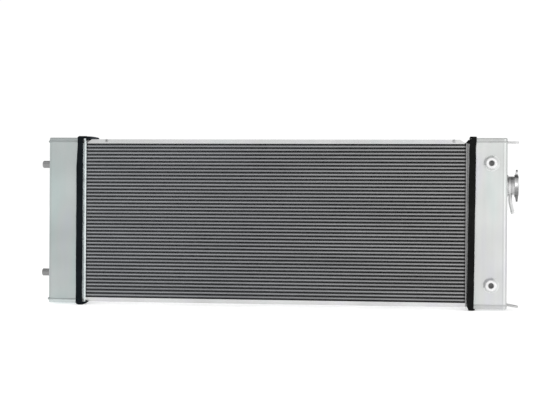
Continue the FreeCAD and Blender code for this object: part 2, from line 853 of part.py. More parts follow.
def make_cap_shell():
    """A pressed shell with two grip ears and two fingers that hook under the rim of the neck."""
    inner = "( cap_radius - cap_gauge )"
    top_inside = "( cap_top - cap_gauge )"
    shell = turned(
        "cap_shell",
        [
            ("cap_skirt_start", inner),
            ("cap_skirt_start", "cap_radius"),
            ("cap_top - cap_bevel", "cap_radius"),
            ("cap_top", "cap_radius - cap_bevel"),
            ("cap_top", "cap_rivet_radius + rivet_play"),
            (top_inside, "cap_rivet_radius + rivet_play"),
            (top_inside, f"{inner} - cap_bevel / 2"),
            (f"{top_inside} - cap_bevel / 2", inner),
        ],
    )
    half_ear = "cap_ear_width / 2"
    ears = new_sketch(shell, "YZ_Plane", "cap_top - cap_ear_step")
    root = f"( {inner} - rivet_play )"
    for sign in (1, -1):
        corners = [
            (f"-1 * {half_ear}", f"{sign} * {root}"),
            (half_ear, f"{sign} * {root}"),
            (f"{half_ear} * 0.62", f"{sign} * ( cap_ear_reach - cap_ear_tip )"),
            (f"{half_ear} * 0.4", f"{sign} * cap_ear_reach"),
            (f"-1 * {half_ear} * 0.4", f"{sign} * cap_ear_reach"),
            (f"-1 * {half_ear} * 0.62", f"{sign} * ( cap_ear_reach - cap_ear_tip )"),
        ]
        draw_outline(ears, corners)
    pad(shell, ears, "cap_ear_height", backwards=True)
    fingers = new_sketch(shell, "YZ_Plane", "neck_length - neck_rim_gauge - cap_finger_gap")
    half_finger = "cap_finger_width / 2"
    for sign in (1, -1):
        near = f"{sign} * cap_finger_radius"
        far = f"{sign} * ( {inner} + cap_finger_overlap )"
        draw_outline(fingers, rectangle(near, far, f"-1 * {half_finger}", half_finger))
    pad(shell, fingers, "cap_finger_gauge", backwards=True)
    keep_on_neck("cap_shell", shell)


def make_cap_inside():
    """What the shell carries: rivet, diaphragm, gasket and the cage that holds the valve."""
    gasket_top = "( neck_length + gasket_gauge )"
    top_inside = "( cap_top - cap_gauge )"
    cage_under = f"( {gasket_top} - cage_gauge )"
    cage_low = f"( {gasket_top} - cage_depth - cage_lip_gauge )"
    head_low = "( cap_top + cap_play )"
    head_high = f"( {head_low} + cap_rivet_head_height )"
    rivet = turned(
        "cap_rivet",
        [
            (f"{cage_under} - cap_rivet_foot", "0"),
            (f"{cage_under} - cap_rivet_foot", "cap_rivet_head_radius"),
            (cage_under, "cap_rivet_head_radius"),
            (cage_under, "cap_rivet_radius"),
            (f"{gasket_top} + diaphragm_gauge", "cap_rivet_radius"),
            (f"{gasket_top} + diaphragm_gauge", "cap_rivet_head_radius"),
            (f"{top_inside} - 2 * cap_play", "cap_rivet_head_radius"),
            (f"{top_inside} - 2 * cap_play", "cap_rivet_radius"),
            (head_low, "cap_rivet_radius"),
            (head_low, "cap_rivet_head_radius"),
            (head_high, "cap_rivet_head_radius - cap_rivet_head_slope"),
            (head_high, "0"),
        ],
    )
    keep_on_neck("cap_rivet", rivet)
    diaphragm = turned(
        "cap_diaphragm",
        [
            (gasket_top, "cap_rivet_radius"),
            (f"{gasket_top} + diaphragm_gauge", "cap_rivet_radius"),
            (f"{gasket_top} + diaphragm_gauge", "gasket_outer_radius"),
            (gasket_top, "gasket_outer_radius"),
        ],
    )
    keep_on_neck("cap_diaphragm", diaphragm)
    gasket = turned(
        "cap_gasket",
        [
            ("neck_length", "gasket_inner_radius"),
            (gasket_top, "gasket_inner_radius"),
            (gasket_top, "gasket_outer_radius"),
            ("neck_length", "gasket_outer_radius"),
        ],
    )
    keep_on_neck("cap_gasket", gasket)
    cage = turned(
        "valve_cage",
        [
            (gasket_top, "cap_rivet_radius"),
            (gasket_top, "cage_radius"),
            (cage_low, "cage_radius"),
            (cage_low, "cage_lip_radius"),
            (f"{cage_low} + cage_lip_gauge", "cage_lip_radius"),
            (f"{cage_low} + cage_lip_gauge", "cage_radius - cage_gauge"),
            (cage_under, "cage_radius - cage_gauge"),
            (cage_under, "cap_rivet_radius"),
        ],
    )
    # four windows in the wall of the cage let the fluid out to the overflow pipe
    for plane in ("XY_Plane", "XZ_Plane"):
        window = new_sketch(cage, plane)
        low = f"{cage_low} + cage_window_rise"
        high = f"{low} + cage_window_height"
        half = "cage_window_width / 2"
        draw_outline(window, rectangle(low, high, f"-1 * {half}", half))
        cut = pocket(cage, window, "4 * cage_radius")
        cut.Midplane = True
        doc.recompute()
    keep_on_neck("valve_cage", cage)


def make_valves():
    """The pressure valve hangs in the cage by its upper flange, and carries the vacuum valve."""
    seal_top = "( neck_seat_gauge + valve_seal_gauge )"
    floor = f"( {seal_top} + valve_floor_gauge )"
    disc_top = f"( {seal_top} + valve_disc_gauge )"
    lip_top = "( neck_length + gasket_gauge - cage_depth )"
    flange_low = f"( {lip_top} + valve_play )"
    flange_top = f"( {flange_low} + valve_flange_gauge )"
    plate = turned(
        "pressure_valve_plate",
        [
            (seal_top, "valve_stem_bore"),
            (seal_top, "valve_disc_radius"),
            (disc_top, "valve_disc_radius"),
            (disc_top, "valve_waist_radius"),
            (flange_low, "valve_waist_radius"),
            (flange_low, "valve_flange_radius"),
            (flange_top, "valve_flange_radius"),
            (flange_top, "valve_waist_bore"),
            (floor, "valve_waist_bore"),
            (floor, "valve_stem_bore"),
        ],
    )
    keep_on_neck("pressure_valve_plate", plate)
    seal = turned(
        "pressure_seal",
        [
            ("neck_seat_gauge", "valve_seal_bore"),
            ("neck_seat_gauge", "valve_disc_radius"),
            (seal_top, "valve_disc_radius"),
            (seal_top, "valve_seal_bore"),
        ],
    )
    keep_on_neck("pressure_seal", seal)
    disc_low = "( neck_seat_gauge - vacuum_disc_gauge )"
    stem_top = "( neck_seat_gauge + vacuum_stem_length )"
    head_low = f"( {stem_top} - vacuum_head_gauge )"
    vacuum = turned(
        "vacuum_valve",
        [
            (disc_low, "0"),
            (disc_low, "vacuum_disc_radius"),
            ("neck_seat_gauge", "vacuum_disc_radius"),
            ("neck_seat_gauge", "vacuum_stem_radius"),
            (head_low, "vacuum_stem_radius"),
            (head_low, "vacuum_head_radius"),
            (stem_top, "vacuum_head_radius"),
            (stem_top, "0"),
        ],
    )
    keep_on_neck("vacuum_valve", vacuum)
    cage_under = "( neck_length + gasket_gauge - cage_gauge )"
    make_spring("pressure_spring", flange_top, cage_under, "pressure")
    make_spring("vacuum_spring", floor, head_low, "vacuum")


def make_spring(name, low, high, kind):
    """A helical spring between two faces across the neck's axis."""
    wire = f"{kind}_wire_radius"
    length = f"( {high} - {low} - 2 * {wire} )"
    coil = f"{kind}_coil_radius"
    helix = doc.addObject("Part::Helix", f"{name}_helix")
    bind(helix, Height=length, Radius=coil, Pitch=f"{length} / {kind}_coil_count")
    helix.SegmentLength = 1  # one edge to each turn
    section = doc.addObject("Part::Circle", f"{name}_section")
    section.Placement = FreeCAD.Placement(V(value(coil), 0, 0), FreeCAD.Rotation(X_AXIS, 90))
    bind(section, Radius=wire)
    doc.recompute()
    spring = doc.addObject("Part::Sweep", name)
    spring.Sections = [section]
    spring.Spine = (helix, [f"Edge{i + 1}" for i in range(len(helix.Shape.Edges))])
    spring.Solid = True
    spring.Frenet = True
    doc.recompute()
    x = f"{RIGHT_END} + {low} + {wire}"
    keep(name, spring, x=x, z="neck_rise", turn=FreeCAD.Rotation(Y_AXIS, 90))


# ---------------------------------------------------------------- foam seals
def make_foam_strip(name, corners, rear):
    """A strip across the joint of core and tank, on the front or the rear face."""
    body = new_body(name)
    lift = f"-1 * {HALF_DEPTH}" if rear else HALF_DEPTH
    sketch = new_sketch(body, "XZ_Plane", lift)
    draw_outline(sketch, corners)
    strip = pad(body, sketch, "foam_gauge", backwards=rear)
    face = value(f"{HALF_DEPTH} + foam_gauge") * (1 if rear else -1)
    fillet(
        body,
        strip,
        lambda e: abs(e.BoundBox.YMin - face) < 0.01 and abs(e.BoundBox.YMax - face) < 0.01,
        "foam_edge_radius",
    )
    keep(name, body)


def make_foam_end(name, corners, tail=None):
    """A strip over the top or the bottom of the joint, between the front and the rear strips."""
    body = new_body(name)
    sketch = new_sketch(body, "XZ_Plane")
    draw_outline(sketch, corners)
    pad(body, sketch, "tank_depth", midplane=True)
    if tail:
        front = new_sketch(body, "XZ_Plane", HALF_DEPTH)
        draw_outline(front, tail)
        pad(body, front, "foam_tail_depth", backwards=True)
    keep(name, body)


def front_outlines():
    """Outlines of the two front strips: the left one has a lobe at each end, the right one bevels."""
    top = f"( {TANK_TOP} + foam_end_gauge )"
    near = "( core_half_length - foam_overlap )"
    far = "( core_half_length - foam_overlap + foam_width )"
    hem = f"( {top} - foam_lobe_hem )"
    gap = f"( {near} - foam_lobe_gap )"
    tip = f"( {near} - foam_lobe_reach )"
    left = [
        (f"-1 * {far}", f"-1 * {top}"),
        (f"-1 * {tip} - foam_lobe_hem", f"-1 * {top}"),
        (f"-1 * {tip}", f"-1 * {hem}"),
        (f"-1 * {gap}", f"foam_lobe_drop - {top}"),
        (f"-1 * {gap}", f"-1 * {hem}"),
        (f"-1 * {near}", f"-1 * {hem}"),
        (f"-1 * {near}", hem),
        (f"-1 * {gap}", hem),
        (f"-1 * {gap}", f"{top} - foam_lobe_drop"),
        (f"-1 * {tip}", hem),
        (f"-1 * {tip} - foam_lobe_hem", top),
        (f"-1 * {far}", top),
    ]
    right = [
        (f"{near} + foam_bevel_width", f"-1 * {top}"),
        (far, f"-1 * {top}"),
        (far, top),
        (f"{near} + foam_bevel_width", top),
        (near, f"{top} - foam_bevel_height"),
        (near, f"foam_bevel_height - {top}"),
    ]
    return {"left": left, "right": right}


def make_foam():
    top = f"( {TANK_TOP} + foam_end_gauge )"
    plate_top = f"( {HALF_STACK} + side_plate_height )"
    fronts = front_outlines()
    for side, sign in (("left", -1), ("right", 1)):
        inner = f"{sign} * ( core_half_length - foam_overlap )"
        outer = f"{sign} * ( core_half_length - foam_overlap + foam_width )"
        step = f"{sign} * core_half_length"
        make_foam_strip(f"{side}_front_foam", fronts[side], rear=False)
        make_foam_strip(f"{side}_rear_foam", rectangle(inner, outer, f"-1 * {top}", top), rear=True)
        for end, up in (("bottom", -1), ("top", 1)):
            corners = [
                (outer, f"{up} * {TANK_TOP}"),
                (outer, f"{up} * {top}"),
                (inner, f"{up} * {top}"),
                (inner, f"{up} * {plate_top}"),
                (step, f"{up} * {plate_top}"),
                (step, f"{up} * {TANK_TOP}"),
            ]
            tail = None
            if side == "left" and end == "top":
                tip = f"{step} + foam_tail_length"
                tail = [
                    (inner, plate_top),
                    (tip, plate_top),
                    (tip, f"{top} - 2 * foam_tail_droop"),
                    (f"{tip} - foam_tail_droop", f"{top} - foam_tail_droop"),
                    (inner, top),
                ]
            make_foam_end(f"{side}_{end}_foam", corners, tail)


# ---------------------------------------------------------------- build, check and write
def check_document():
    doc.recompute()
    for item in doc.Objects:
        bad = [state for state in item.State if state in ("Invalid", "Error")]
        if bad:
            raise RuntimeError(f"{item.Name} is {bad[0]}")
    for name, piece in NODES.items():
        shape = piece.Shape
        if shape.isNull() or not shape.isValid() or not shape.Solids:
            raise RuntimeError(f"{name} has no valid solid")


def write_pieces():
    os.makedirs("parts", exist_ok=True)
    for name, piece in NODES.items():
        piece.Shape.exportStep(os.path.join("parts", f"{name}.step"))
        box = piece.Shape.BoundBox
        low = f"{box.XMin:.2f} {box.YMin:.2f} {box.ZMin:.2f}"
        high = f"{box.XMax:.2f} {box.YMax:.2f} {box.ZMax:.2f}"
        count = len(piece.Shape.Solids)
        print(f"{name}: {count} solids, {piece.Shape.Volume:.0f} mm3, {low} to {high}")


make_core()
make_side_plate("core_top_plate", 1, riveted=True)
make_side_plate("core_bottom_plate", -1, riveted=False)
make_rivets()
make_tanks()
make_neck()
make_overflow_pipe()
make_cap_shell()
make_cap_inside()
make_valves()
make_foam()
check_document()
write_pieces()
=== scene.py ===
"""Looks of the bar-and-plate cooler: detailed pieces, finishes, floor, light and camera.

Everything is in metres in the part's frame: X along the core, Y from front to rear, Z up.
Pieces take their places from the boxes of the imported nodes. Tones along the core and the way that
the foam strays are given in the frame's own coordinates.
"""
import math

import bmesh
import bpy
import numpy as np
from mathutils import Matrix, Vector, noise


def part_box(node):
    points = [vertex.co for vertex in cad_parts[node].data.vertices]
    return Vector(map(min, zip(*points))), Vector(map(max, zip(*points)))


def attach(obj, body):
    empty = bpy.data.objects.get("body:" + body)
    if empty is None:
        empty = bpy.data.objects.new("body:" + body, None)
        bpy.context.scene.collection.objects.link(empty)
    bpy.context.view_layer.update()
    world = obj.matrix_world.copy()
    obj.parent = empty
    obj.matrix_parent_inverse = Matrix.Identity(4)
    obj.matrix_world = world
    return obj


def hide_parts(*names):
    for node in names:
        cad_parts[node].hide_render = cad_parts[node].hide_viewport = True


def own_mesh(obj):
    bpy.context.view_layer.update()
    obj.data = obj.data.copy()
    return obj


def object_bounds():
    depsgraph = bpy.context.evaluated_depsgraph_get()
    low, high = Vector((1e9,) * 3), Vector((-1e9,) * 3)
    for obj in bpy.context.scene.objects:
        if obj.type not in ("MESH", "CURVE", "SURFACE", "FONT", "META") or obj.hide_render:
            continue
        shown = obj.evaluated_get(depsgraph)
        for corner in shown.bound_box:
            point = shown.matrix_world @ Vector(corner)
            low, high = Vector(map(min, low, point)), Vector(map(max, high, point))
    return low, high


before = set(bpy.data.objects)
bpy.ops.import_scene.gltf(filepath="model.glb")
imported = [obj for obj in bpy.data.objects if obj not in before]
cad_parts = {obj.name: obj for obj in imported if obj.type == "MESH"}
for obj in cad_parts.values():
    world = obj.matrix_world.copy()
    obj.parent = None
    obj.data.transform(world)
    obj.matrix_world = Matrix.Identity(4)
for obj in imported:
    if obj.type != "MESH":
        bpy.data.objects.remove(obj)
cad_low, cad_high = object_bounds()

MM = 0.001
ROW_PITCH = 7.5 * MM
AIR_GAP = 3.9 * MM
CHANNEL_GAP = 2.8 * MM
AIR_ROWS = 45

# distances from the core's middle, along the core
CORE_END = 0.41
# the next band is painted shadow, cast by the end strips onto the bars beside them
BAR_STRIP_SHADOW = (0.4048, 0.4078)
BAR_CLEANED = (0.4085, 0.4092)
# the next two bands are painted shadow in the notches at the ends of the top plate and of the tank
# caps
PLATE_NOTCH_SHADOW = (0.405, 0.408)
CAP_NOTCH_SHADOW = (0.4188, 0.4182)


# ---------------------------------------------------------------- shader helpers
def add_node(tree, kind, **values):
    """A shader node with its sockets set by name, or its own properties where no socket has it."""
    node = tree.nodes.new("ShaderNode" + kind)
    for name, given in values.items():
        socket = name.replace("_", " ").title()
        if socket in node.inputs:
            node.inputs[socket].default_value = given
        else:
            setattr(node, name, given)
    return node


def start_material(name, metallic, roughness):
    material = bpy.data.materials.new(name)
    material.use_nodes = True
    tree = material.node_tree
    surface = tree.nodes["Principled BSDF"]
    surface.inputs["Metallic"].default_value = metallic
    surface.inputs["Roughness"].default_value = roughness
    place = add_node(tree, "TexCoord")
    return material, tree, surface, place.outputs["Object"]


def stretched(tree, place, scale):
    mapping = add_node(tree, "Mapping")
    mapping.inputs["Scale"].default_value = scale
    tree.links.new(place, mapping.inputs["Vector"])
    return mapping.outputs["Vector"]


def noise_of(tree, place, scale, detail=3.0, roughness=0.5):
    texture = add_node(tree, "TexNoise", scale=scale, detail=detail, roughness=roughness)
    tree.links.new(place, texture.inputs["Vector"])
    return texture.outputs["Fac"]


def ramp_of(tree, factor, stops):
    """A ramp from (position, colour) stops."""
    ramp = add_node(tree, "ValToRGB")
    band = ramp.color_ramp
    while len(band.elements) < len(stops):
        band.elements.new(0.5)
    for element, (position, colour) in zip(band.elements, stops):
        element.position = position
        element.color = (*colour, 1.0)
    tree.links.new(factor, ramp.inputs["Fac"])
    return ramp.outputs["Color"]


def mix_of(tree, factor, first, second, blend="MIX"):
    mix = tree.nodes.new("ShaderNodeMix")
    mix.data_type = "RGBA"
    mix.blend_type = blend
    for given, socket in ((factor, 0), (first, 6), (second, 7)):
        if isinstance(given, bpy.types.NodeSocket):
            tree.links.new(given, mix.inputs[socket])
        elif socket == 0:
            mix.inputs[socket].default_value = given
        else:
            mix.inputs[socket].default_value = (*given, 1.0)
    return mix.outputs[2]


def range_of(tree, factor, low, high, start=0.0, end=1.0):
    remap = add_node(tree, "MapRange")
    remap.inputs["From Min"].default_value = start
    remap.inputs["From Max"].default_value = end
    remap.inputs["To Min"].default_value = low
    remap.inputs["To Max"].default_value = high
    tree.links.new(factor, remap.inputs["Value"])
    return remap.outputs["Result"]


def bump_of(tree, surface, heights):
    """Chain bumps of (height, distance in metres, strength) onto the surface's normal."""
    normal = None
    for height, distance, strength in heights:
        bump = add_node(tree, "Bump", strength=strength, distance=distance)
        tree.links.new(height, bump.inputs["Height"])
        if normal is not None:
            tree.links.new(normal, bump.inputs["Normal"])
        normal = bump.outputs["Normal"]
    tree.links.new(normal, surface.inputs["Normal"])


def grey(level, tint=(1.0, 1.0, 1.0)):
    return tuple(level * share for share in tint)


# ---------------------------------------------------------------- finishes
def mill_metal(name, dark, light, grain, roughness=0.42, metallic=0.9, drift=0.5):
    """Rolled aluminium: broad cloudy tones, grain drawn out along the rolling, fine scuffs."""
    material, tree, surface, place = start_material(name, metallic, roughness)
    clouds = noise_of(tree, place, 9.0, detail=2.0)
    lines = noise_of(tree, stretched(tree, place, grain), 1.0, detail=4.0)
    specks = noise_of(tree, place, 900.0, detail=2.0)
    tone = ramp_of(tree, clouds, [(0.32, dark), (0.68, light)])
    # cool and warm patches of hue: painted reflections of the surroundings
    reflection_patches = noise_of(tree, stretched(tree, place, (26.0, 26.0, 7.0)), 1.0, detail=1.0)
    painted_reflection_hue = ramp_of(tree, reflection_patches, [(0.3, (0.94, 1.0, 0.985)), (0.5, (1.0, 1.0, 0.99)),
                              (0.68, (0.975, 0.965, 1.03))])
    tone = mix_of(tree, drift, tone, painted_reflection_hue, "MULTIPLY")
    streak = ramp_of(tree, lines, [(0.25, grey(0.9)), (0.75, grey(1.06))])
    tone = mix_of(tree, 0.55, tone, streak, "MULTIPLY")
    scuff = ramp_of(tree, specks, [(0.3, grey(0.86)), (0.42, grey(1.0))])
    tone = mix_of(tree, 0.35, tone, scuff, "MULTIPLY")
    tree.links.new(tone, surface.inputs["Base Color"])
    rough = range_of(tree, lines, roughness - 0.09, roughness + 0.12, 0.25, 0.75)
    tree.links.new(rough, surface.inputs["Roughness"])
    bump_of(tree, surface, [(lines, 0.00004, 0.35), (specks, 0.00003, 0.3)])
    return material


def shade_along(material, start, end, stops):
    """Multiply a finish by a ramp of tones between two places along the core."""
    tree = material.node_tree
    surface = tree.nodes["Principled BSDF"]
    tone = surface.inputs["Base Color"].links[0].from_socket
    split = add_node(tree, "SeparateXYZ")
    tree.links.new(add_node(tree, "TexCoord").outputs["Object"], split.inputs[0])
    across = range_of(tree, split.outputs["X"], 0.0, 1.0, start, end)
    tree.links.new(mix_of(tree, 1.0, tone, ramp_of(tree, across, stops), "MULTIPLY"),
                   surface.inputs["Base Color"])


def cast_metal(name, dark, light, roughness=0.5, metallic=0.85, pits=700.0):
    """Machined or welded aluminium: fine crystalline tone, shallow pits and dull spots."""
    material, tree, surface, place = start_material(name, metallic, roughness)
    grains = noise_of(tree, place, pits, detail=4.0, roughness=0.65)
    clouds = noise_of(tree, place, 60.0, detail=2.0)
    tone = ramp_of(tree, grains, [(0.3, dark), (0.65, light)])
    dull = ramp_of(tree, clouds, [(0.35, grey(0.85)), (0.6, grey(1.0))])
    tone = mix_of(tree, 0.7, tone, dull, "MULTIPLY")
    tree.links.new(tone, surface.inputs["Base Color"])
    rough = range_of(tree, grains, roughness - 0.1, roughness + 0.15, 0.3, 0.7)
    tree.links.new(rough, surface.inputs["Roughness"])
    bump_of(tree, surface, [(grains, 0.00008, 0.4)])
    return material


def row_metal(name, dark, light, left_end, right_end):
    """Bar noses and sheet edges: grey along the core, with painted shadow beside the end strips,
    and then cleaned at its ends.
    """
    roughness = 0.45
    material, tree, surface, place = start_material(name, 0.75, roughness)
    lines = noise_of(tree, stretched(tree, place, (14.0, 900.0, 900.0)), 1.0, detail=4.0)
    rows = noise_of(tree, stretched(tree, place, (2.2, 1.0, 70.0)), 1.0, detail=1.0)
    tone = ramp_of(tree, lines, [(0.3, dark), (0.7, light)])
    cast = ramp_of(tree, rows, [(0.3, grey(0.84)), (0.7, grey(1.08))])
    tone = mix_of(tree, 0.8, tone, cast, "MULTIPLY")
    split = add_node(tree, "SeparateXYZ")
    tree.links.new(place, split.inputs[0])
    # a band of painted shadow that the end strips cast on the bars beside them
    strip_shadow_tone = grey(0.06)
    for end, sign in ((left_end, -1), (right_end, 1)):
        strip_shadow_mask = range_of(tree, split.outputs["X"], 0.0, 0.8, *(sign * x for x in BAR_STRIP_SHADOW))
        tone = mix_of(tree, strip_shadow_mask, tone, strip_shadow_tone)
        cleaned = range_of(tree, split.outputs["X"], 0.0, 1.0, *(sign * x for x in BAR_CLEANED))
        tone = mix_of(tree, cleaned, tone, end)
    tree.links.new(tone, surface.inputs["Base Color"])
    rough = range_of(tree, lines, roughness - 0.1, roughness + 0.15, 0.3, 0.7)
    tree.links.new(rough, surface.inputs["Roughness"])
    bump_of(tree, surface, [(lines, 0.00005, 0.4)])
    return material


def foam_rubber(name, dark, light):
    """Closed-cell foam with its skin on: matt black, fine cells, dusty on the high spots."""
    material, tree, surface, place = start_material(name, 0.0, 0.93)
    cells = add_node(tree, "TexVoronoi", scale=1100.0)
    tree.links.new(place, cells.inputs["Vector"])
    lumps = noise_of(tree, place, 240.0, detail=4.0, roughness=0.6)
    dust = noise_of(tree, place, 34.0, detail=3.0)
    tone = ramp_of(tree, lumps, [(0.3, dark), (0.72, light)])
    veil = ramp_of(tree, dust, [(0.4, grey(0.8)), (0.7, grey(1.35))])
    tone = mix_of(tree, 0.6, tone, veil, "MULTIPLY")
    tree.links.new(tone, surface.inputs["Base Color"])
    rough = range_of(tree, lumps, 0.86, 1.0, 0.3, 0.7)
    tree.links.new(rough, surface.inputs["Roughness"])
    surface.inputs["Specular IOR Level"].default_value = 0.1
    bump_of(tree, surface, [(cells.outputs["Distance"], 0.0003, 0.5), (lumps, 0.0004, 0.5)])
    return material


def soft_rubber(name, tone_low, tone_high):
    """Moulded seal rubber with a faint bloom."""
    material, tree, surface, place = start_material(name, 0.0, 0.6)
    bloom = noise_of(tree, place, 120.0, detail=4.0)
    grain = noise_of(tree, place, 1500.0, detail=2.0)
    tone = ramp_of(tree, bloom, [(0.35, tone_low), (0.7, tone_high)])
    tree.links.new(tone, surface.inputs["Base Color"])
    rough = range_of(tree, bloom, 0.5, 0.75, 0.3, 0.7)
    tree.links.new(rough, surface.inputs["Roughness"])
    bump_of(tree, surface, [(grain, 0.00005, 0.3)])
    return material


def plated_steel(name, dark, light, roughness=0.2):
    """Bright plated steel with wipe marks and small dull stains."""
    material, tree, surface, place = start_material(name, 1.0, roughness)
    stains = noise_of(tree, place, 90.0, detail=3.0)
    wipes = noise_of(tree, stretched(tree, place, (300.0, 1500.0, 1500.0)), 1.0, detail=3.0)
    tone = ramp_of(tree, stains, [(0.35, dark), (0.6, light)])
    tree.links.new(tone, surface.inputs["Base Color"])
    rough = range_of(tree, wipes, roughness - 0.06, roughness + 0.14, 0.3, 0.7)
    tree.links.new(rough, surface.inputs["Roughness"])
    bump_of(tree, surface, [(wipes, 0.00002, 0.3)])
    return material


def reflection_banded_steel(name, low, high, tones):
    """Old plating with painted reflections: bright and dark bands between two heights, with blotchy
    stains.
    """
    material, tree, surface, place = start_material(name, 0.9, 0.25)
    split = add_node(tree, "SeparateXYZ")
    tree.links.new(place, split.inputs[0])
    stains = noise_of(tree, place, 130.0, detail=4.0)
    fine = noise_of(tree, place, 1200.0, detail=2.0)
    height = range_of(tree, split.outputs["Z"], 0.0, 1.0, low, high)
    drift = range_of(tree, stains, -0.025, 0.025, 0.3, 0.7)
    total = add_node(tree, "Math", operation="ADD")
    tree.links.new(height, total.inputs[0])
    tree.links.new(drift, total.inputs[1])
    tone = ramp_of(tree, total.outputs[0], [(at, grey(level)) for at, level in tones])
    blotch = ramp_of(tree, stains, [(0.35, grey(0.85)), (0.6, grey(1.05))])
    tree.links.new(mix_of(tree, 0.7, tone, blotch, "MULTIPLY"), surface.inputs["Base Color"])
    rough = range_of(tree, stains, 0.2, 0.42, 0.3, 0.7)
    tree.links.new(rough, surface.inputs["Roughness"])
    bump_of(tree, surface, [(fine, 0.00002, 0.3)])
    return material


# painted reflection bands by height, as (share of the height, grey level)
SHELL_REFLECTIONS = [(0.0, 0.16), (0.3, 0.2), (0.45, 0.34), (0.55, 0.82), (0.7, 0.7), (0.78, 0.12),
               (0.82, 0.16), (0.85, 0.86), (0.92, 0.86), (0.95, 0.08), (1.0, 0.06)]
NECK_REFLECTIONS = [(0.0, 0.75), (0.25, 0.68), (0.5, 0.72), (0.62, 0.6), (0.7, 0.36), (0.9, 0.27),
              (1.0, 0.3)]
# tones along the core, as (share of its length, colour): cool at the left, bright at the right
ROW_TONES = [(0.0, (1.05, 1.08, 1.12)), (0.4, (1.0, 1.015, 1.05)), (0.75, (1.1, 1.115, 1.13)),
             (1.0, (1.2, 1.2, 1.2))]
FIN_TONES = [(0.0, (1.02, 1.08, 1.16)), (0.5, (1.02, 1.04, 1.1)), (1.0, (1.0, 1.0, 1.0))]
PLATE_TONES = [(0.0, grey(1.12)), (1.0, grey(1.27))]
# painted shade in bands beside and on a bend of a tank's sheet, where its rounding turns from the
# light
RIGHT_BEND_SHADE = [(0.0, grey(1.0)), (0.16, grey(0.87)), (0.32, grey(0.9)), (0.45, grey(0.98)),
          (0.6, grey(0.93)), (1.0, grey(0.9))]
LEFT_BEND_SHADE = [(0.0, grey(1.0)), (0.45, grey(0.93)), (0.7, grey(0.9)), (1.0, grey(1.0))]
# painted shadow under the rim of the cap on the neck, painted shadow in the notches at the ends of
# the top plate and the tank caps, and the foam lighter towards its tail
RIM_SHADOW_RAMP = [(0.0, grey(1.0)), (0.5, grey(0.55)), (1.0, grey(0.8))]
NOTCH_SHADOW_RAMP = [(0.0, grey(1.0)), (1.0, grey(0.07))]
LIGHTER_TO_TAIL = [(0.0, grey(1.0)), (1.0, (7.5, 5.6, 5.0))]
# tints of the tanks: the left one is a little blue, the right one nearly neutral
COOL = (0.935, 1.0, 1.0)
PALE = (0.985, 1.0, 0.99)

# the right tank's sheets get lighter greys than the left tank's: painted light from the right
left_metal = mill_metal("left_tank_sheet", grey(0.46, COOL), grey(0.53, COOL), (60, 260, 5),
                        drift=1.0)
# painted shade along the left tank's bend
shade_along(left_metal, -0.4835, -0.4915, LEFT_BEND_SHADE)
left_cap_metal = mill_metal("left_cap_sheet", grey(0.36, COOL), grey(0.44, COOL), (9, 9, 300))
# painted shadow in the notch at the inner end of the left tank's cap
shade_along(left_cap_metal, -CAP_NOTCH_SHADOW[0], -CAP_NOTCH_SHADOW[1], NOTCH_SHADOW_RAMP)
left_foot_metal = mill_metal("left_foot_sheet", grey(0.58, COOL), grey(0.68, COOL), (9, 9, 300))
right_metal = mill_metal("right_tank_sheet", grey(0.62, PALE), grey(0.7, PALE), (80, 260, 6),
                         drift=0.8)
# painted shade beside and on the right tank's bend, which also dims its highlight
shade_along(right_metal, 0.4848, 0.4955, RIGHT_BEND_SHADE)
right_cap_metal = mill_metal("right_cap_sheet", grey(0.5, PALE), grey(0.58, PALE), (9, 9, 300))
# painted shadow in the notch at the inner end of the right tank's cap
shade_along(right_cap_metal, *CAP_NOTCH_SHADOW, NOTCH_SHADOW_RAMP)
plate_metal = mill_metal("side_plate_sheet", grey(0.47), grey(0.54), (5, 500, 500))
shade_along(plate_metal, -CORE_END, CORE_END, PLATE_TONES)
# painted shadow in the notches at both ends of the top plate
shade_along(plate_metal, -PLATE_NOTCH_SHADOW[0], -PLATE_NOTCH_SHADOW[1], NOTCH_SHADOW_RAMP)
shade_along(plate_metal, *PLATE_NOTCH_SHADOW, NOTCH_SHADOW_RAMP)
# the bottom plate's sheet is lighter than the top plate's: painted light from the bright floor
floor_lit_plate_metal = mill_metal("low_plate_sheet", grey(0.62), grey(0.72), (5, 500, 500))
bar_metal = row_metal("bar_noses", grey(0.25), grey(0.34), grey(0.7, COOL), grey(0.2))
sheet_metal = row_metal("sheet_edges", grey(0.2), grey(0.28), grey(0.66, COOL), grey(0.16))
shade_along(bar_metal, -CORE_END, CORE_END, ROW_TONES)
shade_along(sheet_metal, -CORE_END, CORE_END, ROW_TONES)
left_end_metal = cast_metal("left_end_bar_faces", grey(0.8, COOL), grey(0.95, COOL), roughness=0.6)
right_end_metal = cast_metal("right_end_bar_faces", grey(0.24), grey(0.37))
# the fins are a dark grey, far darker than aluminium: painted shade deep in the core
fin_shade_metal = mill_metal("fin_stock", grey(0.085), grey(0.115), (40, 900, 40), roughness=0.6,
                       metallic=0.25)
shade_along(fin_shade_metal, -CORE_END, CORE_END, FIN_TONES)
weld_metal = cast_metal("weld_beads", grey(0.45), grey(0.62), roughness=0.45, pits=1300.0)
fitting_metal = cast_metal("fitting_stock", grey(0.5), grey(0.64), roughness=0.5)
ear_metal = cast_metal("ear_plate", grey(0.62), grey(0.7), roughness=0.6, metallic=0.5,
                       pits=220.0)
low_ear_metal = cast_metal("low_ear_plate", grey(0.52), grey(0.6), roughness=0.5, pits=220.0)
boss_metal = cast_metal("boss_faces", grey(0.78), grey(0.9), roughness=0.5)
# a lighter, duller finish for the boss's foot: painted light that keeps it from darkening
lit_boss_foot_metal = cast_metal("boss_feet", grey(0.74, PALE), grey(0.84, PALE), roughness=0.75,
                             metallic=0.35)
